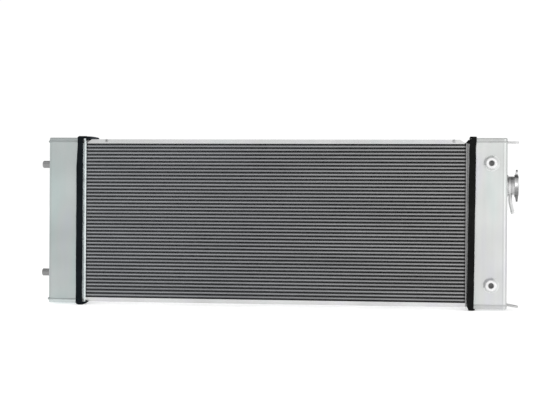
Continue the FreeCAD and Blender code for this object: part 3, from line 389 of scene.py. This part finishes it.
# dark thread flanks: painted shade down the tapped hole
bore_shade_metal = cast_metal("thread_flanks", grey(0.2), grey(0.32), roughness=0.45, metallic=0.6)
pin_metal = cast_metal("pin_stock", grey(0.23), grey(0.32), roughness=0.3)
pipe_metal = cast_metal("overflow_stock", grey(0.66), grey(0.8), roughness=0.6, metallic=0.4)
rivet_metal = cast_metal("rivet_heads", grey(0.3), grey(0.42), roughness=0.35)
# bright and dark bands by height on the neck and the cap's shell: painted reflections
neck_metal = reflection_banded_steel("neck_plating", 0.24, 0.286, NECK_REFLECTIONS)
# a painted shadow under the rim of the cap, across the neck
shade_along(neck_metal, 0.502, 0.507, RIM_SHADOW_RAMP)
cap_metal = plated_steel("cap_plating", grey(0.5), grey(0.66))
shell_metal = reflection_banded_steel("cap_shell_plating", 0.228, 0.298, SHELL_REFLECTIONS)
spring_metal = plated_steel("spring_wire", grey(0.36), grey(0.5), roughness=0.28)
copper_metal = cast_metal("washer_copper", (0.6, 0.3, 0.18), (0.78, 0.42, 0.27), roughness=0.35)
foam_left = foam_rubber("foam_cool", (0.0035, 0.0055, 0.0072), (0.0075, 0.0105, 0.0135))
# the foam's tail is lighter towards its end
shade_along(foam_left, -0.404, -0.395, LIGHTER_TO_TAIL)
foam_right = foam_rubber("foam_warm", (0.005, 0.0053, 0.005), (0.0105, 0.011, 0.0105))
seal_black = soft_rubber("seal_compound", grey(0.012), grey(0.03))


# ---------------------------------------------------------------- mesh helpers
def add_piece(name, mesh, material, body):
    """An object of a mesh, finished and on its body."""
    piece = bpy.data.objects.new(name, mesh)
    bpy.context.scene.collection.objects.link(piece)
    piece.data.materials.append(material)
    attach(piece, body)
    return piece


def new_piece(name, points, faces, material, body="cooler", smooth=False):
    """A piece from points and faces, with its faces turned outwards."""
    mesh = bpy.data.meshes.new(name)
    mesh.from_pydata([tuple(p) for p in points], [], [tuple(f) for f in faces])
    mesh.validate()
    tidy = bmesh.new()
    tidy.from_mesh(mesh)
    bmesh.ops.recalc_face_normals(tidy, faces=tidy.faces)
    tidy.to_mesh(mesh)
    tidy.free()
    if smooth:
        mesh.shade_smooth()
    else:
        mesh.shade_flat()
    return add_piece(name, mesh, material, body)


def smooth_by_angle(piece, degrees):
    """Smooth shading that keeps the sharp edges."""
    mesh = piece.data
    mesh.shade_smooth()
    sharp = math.radians(degrees)
    edit = bmesh.new()
    edit.from_mesh(mesh)
    for edge in edit.edges:
        edge.smooth = len(edge.link_faces) == 2 and edge.calc_face_angle(0.0) < sharp
    edit.to_mesh(mesh)
    edit.free()


def sweep_faces(rings, count, closed_path):
    """Quads between rings of the same number of points."""
    faces = []
    last = rings if closed_path else rings - 1
    for i in range(last):
        a, b = i * count, (i + 1) % rings * count
        for j in range(count):
            k = (j + 1) % count
            faces.append((a + j, a + k, b + k, b + j))
    return faces


def tube_faces(rings, count, base=0):
    """Quads along an open run of rings, with a face over each end. Points count from base."""
    faces = sweep_faces(rings, count, False)
    faces += [tuple(range(count)), tuple((rings - 1) * count + k for k in range(count))]
    return [tuple(base + k for k in face) for face in faces]


def frame_of(axis):
    """A rotation that takes Z to an axis."""
    return axis.to_track_quat("Z", "Y").to_matrix()


# ---------------------------------------------------------------- weld beads
def weld_bead(name, path, radius, material, closed=False, swells=()):
    """A rippled bead along a path. It swells near the given points, where runs start and stop."""
    step = 0.55 * MM
    points = resample(path, step, closed)
    count = 10
    rings = []
    total = len(points)
    for i, point in enumerate(points):
        before = points[(i - 1) % total] if closed or i else points[i]
        after = points[(i + 1) % total] if closed or i < total - 1 else points[i]
        along = (after - before).normalized()
        turn = frame_of(along)
        ripple = 1 + 0.13 * math.cos(2 * math.pi * i * step / (2.6 * MM))
        uneven = 1 + 0.22 * noise.noise(point * 90.0)
        size = radius * ripple * uneven
        for centre, gain, spread in swells:
            size *= 1 + gain * math.exp(-((point - centre).length_squared) / spread**2)
        if not closed:
            end = min(i, total - 1 - i) * step
            size *= min(1.0, math.sqrt(end / radius) if end < radius else 1.0) + 0.02
        for k in range(count):
            angle = 2 * math.pi * k / count
            rings.append(point + turn @ Vector((math.cos(angle), math.sin(angle), 0)) * size)
    faces = sweep_faces(total, count, True) if closed else tube_faces(total, count)
    new_piece(name, rings, faces, material, smooth=True)


def resample(path, step, closed):
    """Evenly spaced points along straight runs between the path's points."""
    ends = path + path[:1] if closed else path
    lengths = [(b - a).length for a, b in zip(ends, ends[1:])]
    total = sum(lengths)
    count = max(8, round(total / step))
    points = []
    for i in range(count if closed else count + 1):
        want = total * i / count
        for k, length in enumerate(lengths):
            if want <= length or k == len(lengths) - 1:
                points.append(ends[k].lerp(ends[k + 1], min(1.0, want / length)))
                break
            want -= length
    return points


def ring_path(centre, axis, radius):
    turn = frame_of(axis)
    count = 64
    angles = [2 * math.pi * k / count for k in range(count)]
    return [centre + turn @ Vector((math.cos(a), math.sin(a), 0)) * radius for a in angles]


def seam_path(low, high, z, outer, bend):
    """Front, end and rear of a tank at one height, round its two bends. outer is -1 or 1."""
    far = high.x if outer > 0 else low.x
    near = low.x if outer > 0 else high.x
    path = [Vector((near, low.y, z))]
    for side in (-1, 1):
        edge = low.y if side < 0 else high.y
        centre = Vector((far - outer * bend, edge - side * bend, z))
        for k in range(7):
            share = k / 6 if side < 0 else 1 - k / 6
            angle = share * math.pi / 2
            reach = Vector((outer * math.sin(angle), side * math.cos(angle), 0)) * bend
            path.append(centre + reach)
    path.append(Vector((near, high.y, z)))
    return path


def make_tank_seams():
    for side, outer, metal in (("left", -1, left_cap_metal), ("right", 1, right_cap_metal)):
        low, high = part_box(f"{side}_tank_body")
        far = low.x if outer < 0 else high.x
        for place, z in (("bottom", low.z), ("top", high.z)):
            corner = Vector((far + outer * 0.2 * MM, low.y + 6 * MM, z))
            start = Vector((low.x if outer > 0 else high.x, low.y, z))
            swells = [(corner, 1.0 if outer < 0 else 0.15, 4 * MM), (start, 0.3, 5 * MM)]
            path = seam_path(low, high, z, outer, 8 * MM)
            name = f"{side}_{place}_seam_weld"
            weld_bead(name, path, 1.3 * MM, metal, swells=swells)


def make_fitting_welds():
    """Beads round everything that is welded to a tank."""
    rounds = [
        ("inlet_port", Vector((0, 1, 0)), "low", 24.2, 1.7, "right_tank", weld_metal),
        ("outlet_port", Vector((0, 1, 0)), "low", 24.2, 1.7, "left_tank", weld_metal),
        ("drain_boss", Vector((0, 1, 0)), "low", 14.4, 1.2, "left_tank", weld_metal),
        ("upper_locating_pin", Vector((1, 0, 0)), "high", 10.2, 1.3, "left_tank", weld_metal),
        ("lower_locating_pin", Vector((1, 0, 0)), "high", 10.2, 1.3, "left_tank", weld_metal),
        ("filler_neck", Vector((1, 0, 0)), "low", 21.4, 1.5, "right_tank", neck_metal),
    ]
    for node, axis, end, radius, bead, slot, metal in rounds:
        low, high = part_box(node)
        centre = (low + high) / 2
        base = low if end == "low" else high
        inwards = 0.5 * MM if end == "low" else -0.5 * MM
        if axis.x:
            centre.x = base.x + inwards
        else:
            centre.y = base.y + inwards
        path = ring_path(centre, axis, radius * MM)
        weld_bead(f"{node}_weld", path, bead * MM, metal, closed=True)
    for node in ("upper_mount_ear", "lower_mount_ear"):
        low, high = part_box(node)
        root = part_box("right_tank_body")[1].x
        middle = high.z - 1.75 * MM
        for sign in (-1, 1):
            z = middle + sign * 1.9 * MM
            path = [Vector((root, low.y + 1 * MM, z)), Vector((root, high.y - 1 * MM, z))]
            side = "under" if sign < 0 else "over"
            weld_bead(f"{node}_weld_{side}", path, 0.8 * MM, right_cap_metal)


# ---------------------------------------------------------------- core
def row_heights(count):
    low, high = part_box("air_fins")
    middle = (low.z + high.z) / 2
    return [middle + (k - (count - 1) / 2) * ROW_PITCH for k in range(count)]


def fin_wave(left, right, phase):
    """Corners of one folded fin strip between two ends, as (x, 0 or 1)."""
    period = 3.7 * MM
    flat = 1.5 * MM
    lean = period / 2 - flat
    corners = [(left, 0.0)]
    x = left - period + phase * period
    while x < right:
        for start, level in ((x, 0.0), (x + flat, 0.0), (x + flat + lean, 1.0),
                             (x + 2 * flat + lean, 1.0)):
            if left < start < right:
                corners.append((start, level))
        x += period
    corners.append((right, corners[-1][1]))
    return np.array(corners)


def fin_sheet(wave, z, stations, swing, gauge):
    """Points and quads of one row's sheet. Its front and rear ends have two skins and an edge."""
    count = len(wave)
    half = AIR_GAP / 2 - 0.01 * MM
    crest = wave[:, 1] > 0.5
    last = len(stations) - 1
    lines = [(k, 0.0) for k in range(last + 1)]
    lines += [(0, gauge), (1, gauge), (last - 1, gauge), (last, gauge)]
    points = []
    for station, lift in lines:
        side = swing if station % 2 else -swing
        along = np.clip(wave[:, 0] + side + lift, wave[0, 0], wave[-1, 0])
        up = z + np.where(crest, half - lift, lift - half)
        points.append(np.column_stack([along, np.full(count, stations[station]), up]))
    i = np.arange(count - 1)
    pairs = [(k, k + 1) for k in range(last)]
    pairs += [(last + 2, last + 1), (last + 1, 0), (last + 4, last + 3), (last, last + 4)]
    faces = [np.column_stack([a * count + i, a * count + i + 1, b * count + i + 1, b * count + i])
             for a, b in pairs]
    return np.vstack(points), np.vstack(faces)


def make_fins():
    """Wavy fins: each sheet swings from side to side towards the rear and lets no light through."""
    low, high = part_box("air_fins")
    stations = np.linspace(low.y + 1.3 * MM, high.y - 1.3 * MM, 6)
    heights = row_heights(AIR_ROWS)
    groups = 5
    size = AIR_ROWS // groups
    for g in range(groups):
        points, faces, offset = [], [], 0
        for row in range(g * size, (g + 1) * size):
            phase = 0.5 + 0.4 * math.sin(row * 2.4)
            wave = fin_wave(low.x, high.x, phase)
            p, f = fin_sheet(wave, heights[row], stations, 1.1 * MM, 0.15 * MM)
            points.append(p)
            faces.append(f + offset)
            offset += len(p)
        piece = grid_piece(f"air_fin_rows_{g + 1}", np.vstack(points), np.vstack(faces), fin_shade_metal)
        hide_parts("air_fins")


def grid_piece(name, points, faces, material):
    """A large mesh of quads, made quickly, without the quads that have no area."""
    corners = points[faces]
    crossed = np.cross(corners[:, 2] - corners[:, 0], corners[:, 3] - corners[:, 1])
    faces = faces[np.linalg.norm(crossed, axis=1) > 1e-12]
    mesh = bpy.data.meshes.new(name)
    mesh.vertices.add(len(points))
    mesh.vertices.foreach_set("co", points.astype(np.float32).ravel())
    mesh.loops.add(faces.size)
    mesh.loops.foreach_set("vertex_index", faces.astype(np.int32).ravel())
    mesh.polygons.add(len(faces))
    mesh.polygons.foreach_set("loop_start", np.arange(0, faces.size, 4, dtype=np.int32))
    mesh.update(calc_edges=True)
    mesh.validate()
    return add_piece(name, mesh, material, "cooler")


def make_bars():
    """Channel bars with rounded noses, each one slightly uneven, as extruded stock is."""
    for node, face in (("front_channel_bars", -1), ("rear_channel_bars", 1)):
        low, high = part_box(node)
        nose = low.y if face < 0 else high.y
        back = high.y if face < 0 else low.y
        half = CHANNEL_GAP / 2
        section = [(back, -half)]
        for k in range(9):
            angle = math.pi * (k / 8 - 0.5)
            back_off = face * 0.55 * MM * (1 - math.cos(angle))
            section.append((nose - back_off, half * math.sin(angle)))
        section.append((back, half))
        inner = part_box("air_fins")[1].x
        stations = [low.x, -inner - 0.3 * MM, -inner + 0.3 * MM]
        stations += list(np.linspace(-inner, inner, 22)[1:-1]) + [-x for x in stations[::-1]]
        points, faces = [], []
        for row, z in enumerate(row_heights(AIR_ROWS - 1)):
            base = len(points)
            for x in stations:
                sway = 0.12 * MM * abs(noise.noise(Vector((x * 6, row * 3.7, face))))
                for y, up in section:
                    if abs(x) > inner and y != back:
                        y = nose
                    elif y != back:
                        y -= face * sway
                    points.append((x, y, z + up))
            faces += tube_faces(len(stations), len(section), base)
        piece = new_piece(f"{node}_rounded", points, faces, bar_metal)
        smooth_by_angle(piece, 50)
        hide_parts(node)


def make_edge_strips():
    """Flat weld runs down the corners of the core, beside the foam, on its front and its rear."""
    left_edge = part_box("left_air_end_bars")[1].x
    right_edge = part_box("right_air_end_bars")[0].x
    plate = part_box("core_top_plate")[1]
    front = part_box("core_top_plate")[0].y
    across = 9
    for side, edge, width, metal in (("left", left_edge, -5.2, left_end_metal),
                                     ("right", right_edge, 3.4, right_end_metal)):
        for place, face, outwards in (("front", front, -1), ("rear", plate.y, 1)):
            # only the left strip at the front runs up past the plate, and bends over the foam
            top = 361.2 * MM if (side, place) == ("left", "front") else plate.z - 7.0 * MM
            bottom = 6.5 * MM if side == "left" else 9.0 * MM
            count = round((top - bottom) / (0.55 * MM))
            points = []
            for k in range(count + 1):
                z = bottom + (top - bottom) * k / count
                over = min(1.0, max(0.0, (z - 354.5 * MM) / (4.0 * MM)))
                lift = 2.1 * MM * over * over * (3 - 2 * over) if side == "left" else 0.0
                bead = 1 + 0.18 * math.cos(2 * math.pi * z / (2.9 * MM))
                wander = noise.noise(Vector((edge * 30, z * 120, face * 30)))
                for j in range(across):
                    share = j / (across - 1)
                    crown = 1 - (2 * share - 1) ** 4
                    x = edge + width * MM * share + 0.25 * MM * wander * (1 - share)
                    proud = (0.15 + 0.75 * crown * bead + 0.15 * crown * wander) * MM
                    points.append((x, face + outwards * (lift + proud), z))
                points.append((edge + width * MM, face + outwards * (lift + 0.02 * MM), z))
                points.append((edge, face + outwards * (lift + 0.02 * MM), z))
            faces = tube_faces(count + 1, across + 2)
            name = f"{side}_{place}_edge_strip"
            piece = new_piece(name, points, faces, metal)
            smooth_by_angle(piece, 50)


# ---------------------------------------------------------------- bosses
def make_boss(node):
    """A tapped boss: uneven weld at its foot, machined face, chamfer and a real thread."""
    low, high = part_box(node)
    foot = high.y
    x, z = (low.x + high.x) / 2, (low.z + high.z) / 2
    outside = [(17.0, 0.0), (16.5, 0.4), (15.6, 1.1), (14.7, 2.2), (13.9, 3.8), (13.3, 5.8),
               (12.7, 8.0), (12.1, 9.9), (11.4, 11.2), (10.8, 11.8), (10.2, 12.0),
               (8.5, 12.0), (6.9, 12.0), (6.1, 11.3)]
    around = 72
    pitch, bore = 1.75, 5.1
    steps = 60
    rings = [("plain", radius, rise) for radius, rise in outside]
    rings += [("thread", bore, 11.2 - 10.0 * k / steps) for k in range(steps + 1)]
    rings += [("plain", bore, 1.1), ("plain", 2.5, 1.0), ("plain", 0.4, 1.0)]
    points = []
    for kind, radius, rise in rings:
        for j in range(around):
            angle = 2 * math.pi * j / around
            reach = radius
            if kind == "thread":
                turns = (rise / pitch + angle / (2 * math.pi)) % 1.0
                reach = bore + 0.95 * max(0.0, 1 - abs(turns - 0.5) * 2.4)
            elif 0 < rise < 5:
                lump = noise.noise(Vector((math.cos(angle) * 3, math.sin(angle) * 3, rise + z * 9)))
                ripple = math.cos(angle * 26)
                reach += (0.5 * lump + 0.12 * ripple) * (1 - rise / 5)
            points.append((x + reach * MM * math.cos(angle), foot - rise * MM,
                           z + reach * MM * math.sin(angle)))
    faces = sweep_faces(len(rings), around, False)
    faces.append(tuple((len(rings) - 1) * around + k for k in range(around)))
    faces.append(tuple(range(around)))
    piece = new_piece(f"{node}_threaded", points, faces, boss_metal)
    for metal in (right_metal, bore_shade_metal, lit_boss_foot_metal):
        piece.data.materials.append(metal)
    for polygon in piece.data.polygons:
        centre = polygon.center
        off_axis = math.hypot(centre.x - x, centre.z - z)
        if off_axis < 6.0 * MM and centre.y < foot - 0.5 * MM:
            polygon.material_index = 2
        elif foot - centre.y < 10.5 * MM:
            # faces turned up and to the left take the darker tank sheet as painted shade, the rest
            # the lighter foot finish as painted light
            shaded_upper_left = polygon.normal.z - polygon.normal.x > 0.55
            polygon.material_index = 1 if shaded_upper_left else 3
    smooth_by_angle(piece, 40)
    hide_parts(node)


# ---------------------------------------------------------------- springs
def make_spring(node, body, wire, turns):
    """A wound spring."""
    low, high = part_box(node)
    y, z = (low.y + high.y) / 2, (low.z + high.z) / 2
    coil = (high.z - low.z) / 2 - wire
    start, end = low.x + wire, high.x - wire
    stations = 36 * turns
    around = 12
    points = []
    for k in range(stations + 1):
        angle = 2 * math.pi * turns * k / stations
        out = Vector((0, math.cos(angle), math.sin(angle)))
        centre = Vector((start + (end - start) * k / stations, y, z)) + out * coil
        for j in range(around):
            turn = 2 * math.pi * j / around
            points.append(centre + (out * math.cos(turn) + Vector((math.sin(turn), 0, 0))) * wire)
    faces = tube_faces(stations + 1, around)
    piece = new_piece(f"{node}_wound", points, faces, spring_metal, body=body)
    smooth_by_angle(piece, 60)
    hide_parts(node)
    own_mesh(piece)


# ---------------------------------------------------------------- cap shell
def cap_shell_profile(skirt, top):
    """Outline of the pressed shell as (x, radius), out along its outside and back inside."""
    outside = [(skirt, 22.4), (skirt, 23.5), (skirt + 0.5, 23.5), (skirt + 1.0, 23.1),
               (top - 2.9, 22.9), (top - 1.7, 22.6), (top - 0.7, 21.9), (top - 0.15, 20.8),
               (top, 19.6), (top - 0.1, 18.4), (top - 0.8, 17.3), (top - 0.95, 16.2),
               (top - 0.95, 9.6), (top - 0.8, 8.6), (top - 0.1, 7.6), (top, 6.8), (top, 3.15)]
    inside = [(top - 1.15, 3.15), (top - 1.2, 7.2), (top - 1.9, 8.6), (top - 1.9, 17.2),
              (top - 1.3, 19.0), (top - 1.4, 20.6), (top - 2.4, 21.7)]
    return outside + inside


def cap_ear(sign, skirt, top):
    """Sections of one grip ear: a pressed tab with turned-down sides, and its closed tip."""
    wall = 1.0
    stations = [(21.6, 7.6, skirt + 0.4), (23.6, 7.4, skirt + 0.8), (26.0, 6.4, skirt + 1.5),
                (28.5, 5.3, skirt + 2.0), (31.0, 4.3, skirt + 2.4), (32.6, 3.5, skirt + 2.6)]
    sections = []
    for reach, half, low in stations:
        crest = top - 0.9 - (reach - 21.6) * 0.1
        outline = [(-half, low), (-half, crest - 1.0), (-half + 0.9, crest), (half - 0.9, crest),
                   (half, crest - 1.0), (half, low), (half - wall, low), (half - wall, crest - 1.9),
                   (-half + wall, crest - 1.9), (-half + wall, low)]
        sections.append([(x, y, sign * reach) for y, x in outline])
    tip = []
    for reach, shrink in ((32.3, 0.0), (33.2, 0.15), (33.7, 0.7)):
        half, low, crest = 3.6 - shrink, skirt + 2.5 + shrink, top - 2.0 - shrink
        outline = [(-half, low), (-half, crest - 0.6), (-half + 0.7, crest), (half - 0.7, crest),
                   (half, crest - 0.6), (half, low)]
        tip.append([(x, y, sign * reach) for y, x in outline])
    return sections, tip


def make_cap_shell():
    low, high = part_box("cap_shell")
    y, z = (low.y + high.y) / 2, (low.z + high.z) / 2
    skirt, top = low.x / MM + 0.6, high.x / MM
    profile = cap_shell_profile(skirt, top)
    around = 96
    points = []
    for x, radius in profile:
        for k in range(around):
            angle = 2 * math.pi * k / around
            points.append((x, radius * math.cos(angle), radius * math.sin(angle)))
    faces = sweep_faces(len(profile), around, True)
    for sign in (-1, 1):
        for sections in cap_ear(sign, skirt, top):
            faces += tube_faces(len(sections), len(sections[0]), len(points))
            for section in sections:
                points += section
        # the finger that hooks under the rim of the neck
        faces += tube_faces(2, 4, len(points))
        for x in (low.x / MM, low.x / MM + 1.2):
            for across, reach in ((-6, 20.6), (6, 20.6), (6, 22.8), (-6, 22.8)):
                points.append((x, across, sign * reach))
    placed = [(px * MM, y + py * MM, z + pz * MM) for px, py, pz in points]
    piece = new_piece("cap_shell_pressed", placed, faces, shell_metal,
                      body="cap_shell")
    smooth_by_angle(piece, 38)
    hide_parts("cap_shell")


# ---------------------------------------------------------------- foam
FOAM_EDGE = -0.43
NARROWED_EDGE = -0.422
TOE_EDGE, TOE_TOP = -0.415, 0.0125
TAIL_START, TAIL_LENGTH = -0.4, 0.018
STRIP_HEIGHT = 0.366
TANK_FRONT, TANK_DEPTH = -0.0635, 0.094
SQUEEZED = 5.5 * MM


def make_corner_plug():
    """A wedge of foam pressed into the notch at the right end of the top plate."""
    front, plate_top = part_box("core_top_plate")[0].y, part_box("core_top_plate")[1].z
    floor, ceiling = plate_top - 6.4 * MM, plate_top - 0.1 * MM
    near, far = 0.4085, 0.4177
    corners = [(near, floor), (far, floor), (far, ceiling), (0.414, ceiling)]
    outline = resample([Vector((x, 0, z)) for x, z in corners], 0.6 * MM, True)
    middle = sum(outline, Vector()) / len(outline)
    depth, rings = 13.0 * MM, 22
    points = []
    for k in range(rings):
        y = front + 0.4 * MM + depth * k / (rings - 1)
        end = min(k, rings - 1 - k)
        shrink = (0.72, 0.9, 0.97)[end] if end < 3 else 1.0
        for place in outline:
            lump = 1 - 0.1 * abs(noise.noise(Vector((place.x * 400, y * 300, place.z * 400))))
            spot = middle + (place - middle) * shrink * lump
            points.append((spot.x, y, spot.z))
    faces = tube_faces(rings, len(outline))
    new_piece("right_corner_foam_plug", points, faces, foam_right, smooth=True)


def rounded(x, z, corner_x, corner_z, up, radius):
    """A point held inside a rounded outer corner of the left foam. up is the way into the foam."""
    across, rise = x - corner_x - radius, z - corner_z - up * radius
    reach = math.hypot(across, rise)
    if across >= 0 or rise * up >= 0 or reach <= radius:
        return x, z
    return x + across * (radius / reach - 1), z + rise * (radius / reach - 1)


def strayed(node, place):
    """Where a point of a hand-laid strip ends up: strips lean, narrow and are squeezed thinner."""
    x, y, z = place
    if node.startswith("left"):
        x, z = rounded(x, z, FOAM_EDGE, cad_high.z, -1, 7 * MM)
        x, z = rounded(x, z, FOAM_EDGE, cad_low.z, 1, 8 * MM)
    if node == "right_front_foam":
        below = max(0.0, 0.358 - z)
        ripple = math.cos(below / 0.024 * math.pi) * math.exp(-below / 0.03)
        x += (z / STRIP_HEIGHT * 3.8 - 2.8 + 0.9 * ripple) * MM
    elif node == "left_front_foam" and x < NARROWED_EDGE:
        rise = min(1.0, max(0.0, (z - 0.3) / 0.045))
        x += 2.6 * MM * rise * (NARROWED_EDGE - x) / 0.008
    elif node == "left_front_foam" and x > TOE_EDGE and z < TOE_TOP:
        z += (x - TOE_EDGE) / 0.014 * 4.5 * MM * (1 - z / TOE_TOP)
    elif node == "left_top_foam" and x > TAIL_START:
        plate_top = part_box("core_top_plate")[1].z
        z = plate_top + (z - plate_top) * (1 - 0.4 * ((x - TAIL_START) / TAIL_LENGTH) ** 2)
    elif node == "right_top_foam" and x < 0.418:
        x += max(0.0, (z - 0.359) / 0.007) * 1.8 * MM
    elif node == "left_bottom_foam":
        z = max(z, (y - TANK_FRONT) / TANK_DEPTH * 5.5 * MM)
    elif node == "left_rear_foam":
        z = max(z, SQUEEZED)
    return Vector((x, y, z))


def make_foam(node, material):
    """Foam with a soft, slightly wandering edge, as a strip cut by hand and stuck down is."""
    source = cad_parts[node]
    piece = bpy.data.objects.new(f"{node}_soft", source.data.copy())
    bpy.context.scene.collection.objects.link(piece)
    remesh = piece.modifiers.new("Remesh", "REMESH")
    remesh.mode = "VOXEL"
    remesh.voxel_size = 1.1 * MM
    evaluated = piece.evaluated_get(bpy.context.evaluated_depsgraph_get())
    mesh = bpy.data.meshes.new_from_object(evaluated)
    piece.modifiers.clear()
    piece.data = mesh
    edit = bmesh.new()
    edit.from_mesh(mesh)
    for _ in range(3):
        bmesh.ops.smooth_vert(edit, verts=edit.verts, factor=0.5,
                              use_axis_x=True, use_axis_y=True, use_axis_z=True)
    low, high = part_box(node)
    edit.normal_update()
    moves = []
    for vert in edit.verts:
        broad = noise.noise(vert.co * 22.0)
        fine = noise.noise(vert.co * 160.0)
        moves.append(vert.normal * (0.5 * broad + 0.22 * fine - 0.25) * MM)
    for vert, move in zip(edit.verts, moves):
        vert.co += move
        for axis in range(3):
            vert.co[axis] = min(max(vert.co[axis], low[axis]), high[axis])
        vert.co = strayed(node, vert.co)
    edit.to_mesh(mesh)
    edit.free()
    mesh.shade_smooth()
    mesh.materials.clear()
    mesh.materials.append(material)
    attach(piece, "cooler")
    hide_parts(node)


# ---------------------------------------------------------------- finishes on the kept nodes
FINISHES = {
    "core_top_plate": plate_metal,
    "core_bottom_plate": floor_lit_plate_metal,
    "parting_sheets": sheet_metal,
    "front_channel_bars": bar_metal,
    "rear_channel_bars": bar_metal,
    "left_air_end_bars": left_end_metal,
    "right_air_end_bars": right_end_metal,
    "air_fins": fin_shade_metal,
    "turbulators": fin_shade_metal,
    "side_plate_rivets": rivet_metal,
    "left_tank_body": left_metal,
    "left_tank_top_cap": left_cap_metal,
    "left_tank_bottom_cap": left_foot_metal,
    "right_tank_body": right_metal,
    "right_tank_top_cap": right_cap_metal,
    "right_tank_bottom_cap": right_cap_metal,
    "upper_locating_pin": pin_metal,
    "lower_locating_pin": pin_metal,
    "upper_mount_boss": boss_metal,
    "lower_mount_boss": boss_metal,
    "upper_mount_ear": ear_metal,
    "lower_mount_ear": low_ear_metal,
    "inlet_port": fitting_metal,
    "outlet_port": fitting_metal,
    "drain_boss": fitting_metal,
    "drain_washer": copper_metal,
    "drain_plug": cap_metal,
    "filler_neck": neck_metal,
    "overflow_pipe": pipe_metal,
    "cap_shell": shell_metal,
    "cap_rivet": spring_metal,
    "cap_diaphragm": spring_metal,
    "cap_gasket": seal_black,
    "valve_cage": cap_metal,
    "pressure_valve_plate": cap_metal,
    "pressure_seal": seal_black,
    "vacuum_valve": spring_metal,
    "pressure_spring": spring_metal,
    "vacuum_spring": spring_metal,
}


def finish_nodes():
    for node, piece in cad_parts.items():
        foam = foam_left if node.startswith("left") else foam_right
        material = FINISHES.get(node, foam)
        piece.data.materials.clear()
        piece.data.materials.append(material)


# ---------------------------------------------------------------- floor, light and camera
def make_floor():
    mesh = bpy.data.meshes.new("floor")
    edit = bmesh.new()
    bmesh.ops.create_grid(edit, x_segments=8, y_segments=8, size=30.0)
    edit.to_mesh(mesh)
    edit.free()
    floor = bpy.data.objects.new("floor", mesh)
    floor.location.z = cad_low.z - 0.2 * MM
    bpy.context.scene.collection.objects.link(floor)
    material, tree, surface, place = start_material("floor_paint", 0.0, 0.8)
    tone = ramp_of(tree, noise_of(tree, place, 2.0), [(0.3, grey(0.9)), (0.7, grey(0.93))])
    tree.links.new(tone, surface.inputs["Base Color"])
    surface.inputs["Specular IOR Level"].default_value = 0.0
    surface.inputs["Emission Color"].default_value = (1.0, 1.0, 1.0, 1.0)
    surface.inputs["Emission Strength"].default_value = 0.5
    mesh.materials.append(material)


def add_softbox(name, place, target, width, height, power):
    light = bpy.data.lights.new(name, "AREA")
    light.shape = "RECTANGLE"
    light.size, light.size_y = width, height
    light.energy = power
    lamp = bpy.data.objects.new(name, light)
    lamp.location = place
    lamp.rotation_euler = (Vector(target) - Vector(place)).to_track_quat("-Z", "Y").to_euler()
    bpy.context.scene.collection.objects.link(lamp)


def make_light():
    world = bpy.data.worlds.new("studio")
    world.use_nodes = True
    tree = world.node_tree
    background = tree.nodes["Background"]
    direction = add_node(tree, "TexCoord")
    split = add_node(tree, "SeparateXYZ")
    tree.links.new(direction.outputs["Generated"], split.inputs[0])
    ceiling = range_of(tree, split.outputs["Z"], 1.03, 0.45, 0.35, 0.8)
    tree.links.new(ceiling, background.inputs["Strength"])
    background.inputs["Color"].default_value = (1.0, 1.0, 1.0, 1.0)
    bpy.context.scene.world = world
    add_softbox("key", (2.6, -2.6, 0.6), (0.3, 0, 0.2), 1.4, 1.4, 16)
    add_softbox("top", (-0.4, -1.2, 3.0), (0, 0, 0.2), 2.8, 1.6, 12)
    bpy.context.scene.view_settings.view_transform = "Standard"


def make_camera():
    data = bpy.data.cameras.new("camera")
    data.lens = 101.8
    data.sensor_width = 36.0
    data.clip_start, data.clip_end = 0.05, 100.0
    camera = bpy.data.objects.new("camera", data)
    yaw, pitch, roll = (math.radians(a) for a in (7.85, -0.07, -0.37))
    turn = (Matrix.Rotation(yaw, 3, "Z") @ Matrix.Rotation(pitch, 3, "X")
            @ Matrix.Rotation(roll, 3, "Y"))
    right, forward, up = turn.col
    camera.matrix_world = Matrix.Translation((0.4528, -3.3326, 0.2338)) @ Matrix(
        ((right.x, up.x, -forward.x), (right.y, up.y, -forward.y), (right.z, up.z, -forward.z))
    ).to_4x4()
    bpy.context.scene.collection.objects.link(camera)
    bpy.context.scene.camera = camera


finish_nodes()
make_fins()
make_bars()
make_edge_strips()
make_tank_seams()
make_fitting_welds()
make_boss("upper_mount_boss")
make_boss("lower_mount_boss")
make_cap_shell()
make_spring("pressure_spring", "cap_inside", 0.9 * MM, 3)
make_spring("vacuum_spring", "pressure_valve", 0.35 * MM, 4)
for foam_node in list(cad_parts):
    if foam_node.endswith("_foam"):
        make_foam(foam_node, foam_left if foam_node.startswith("left") else foam_right)
make_corner_plug()
make_floor()
make_light()
make_camera()
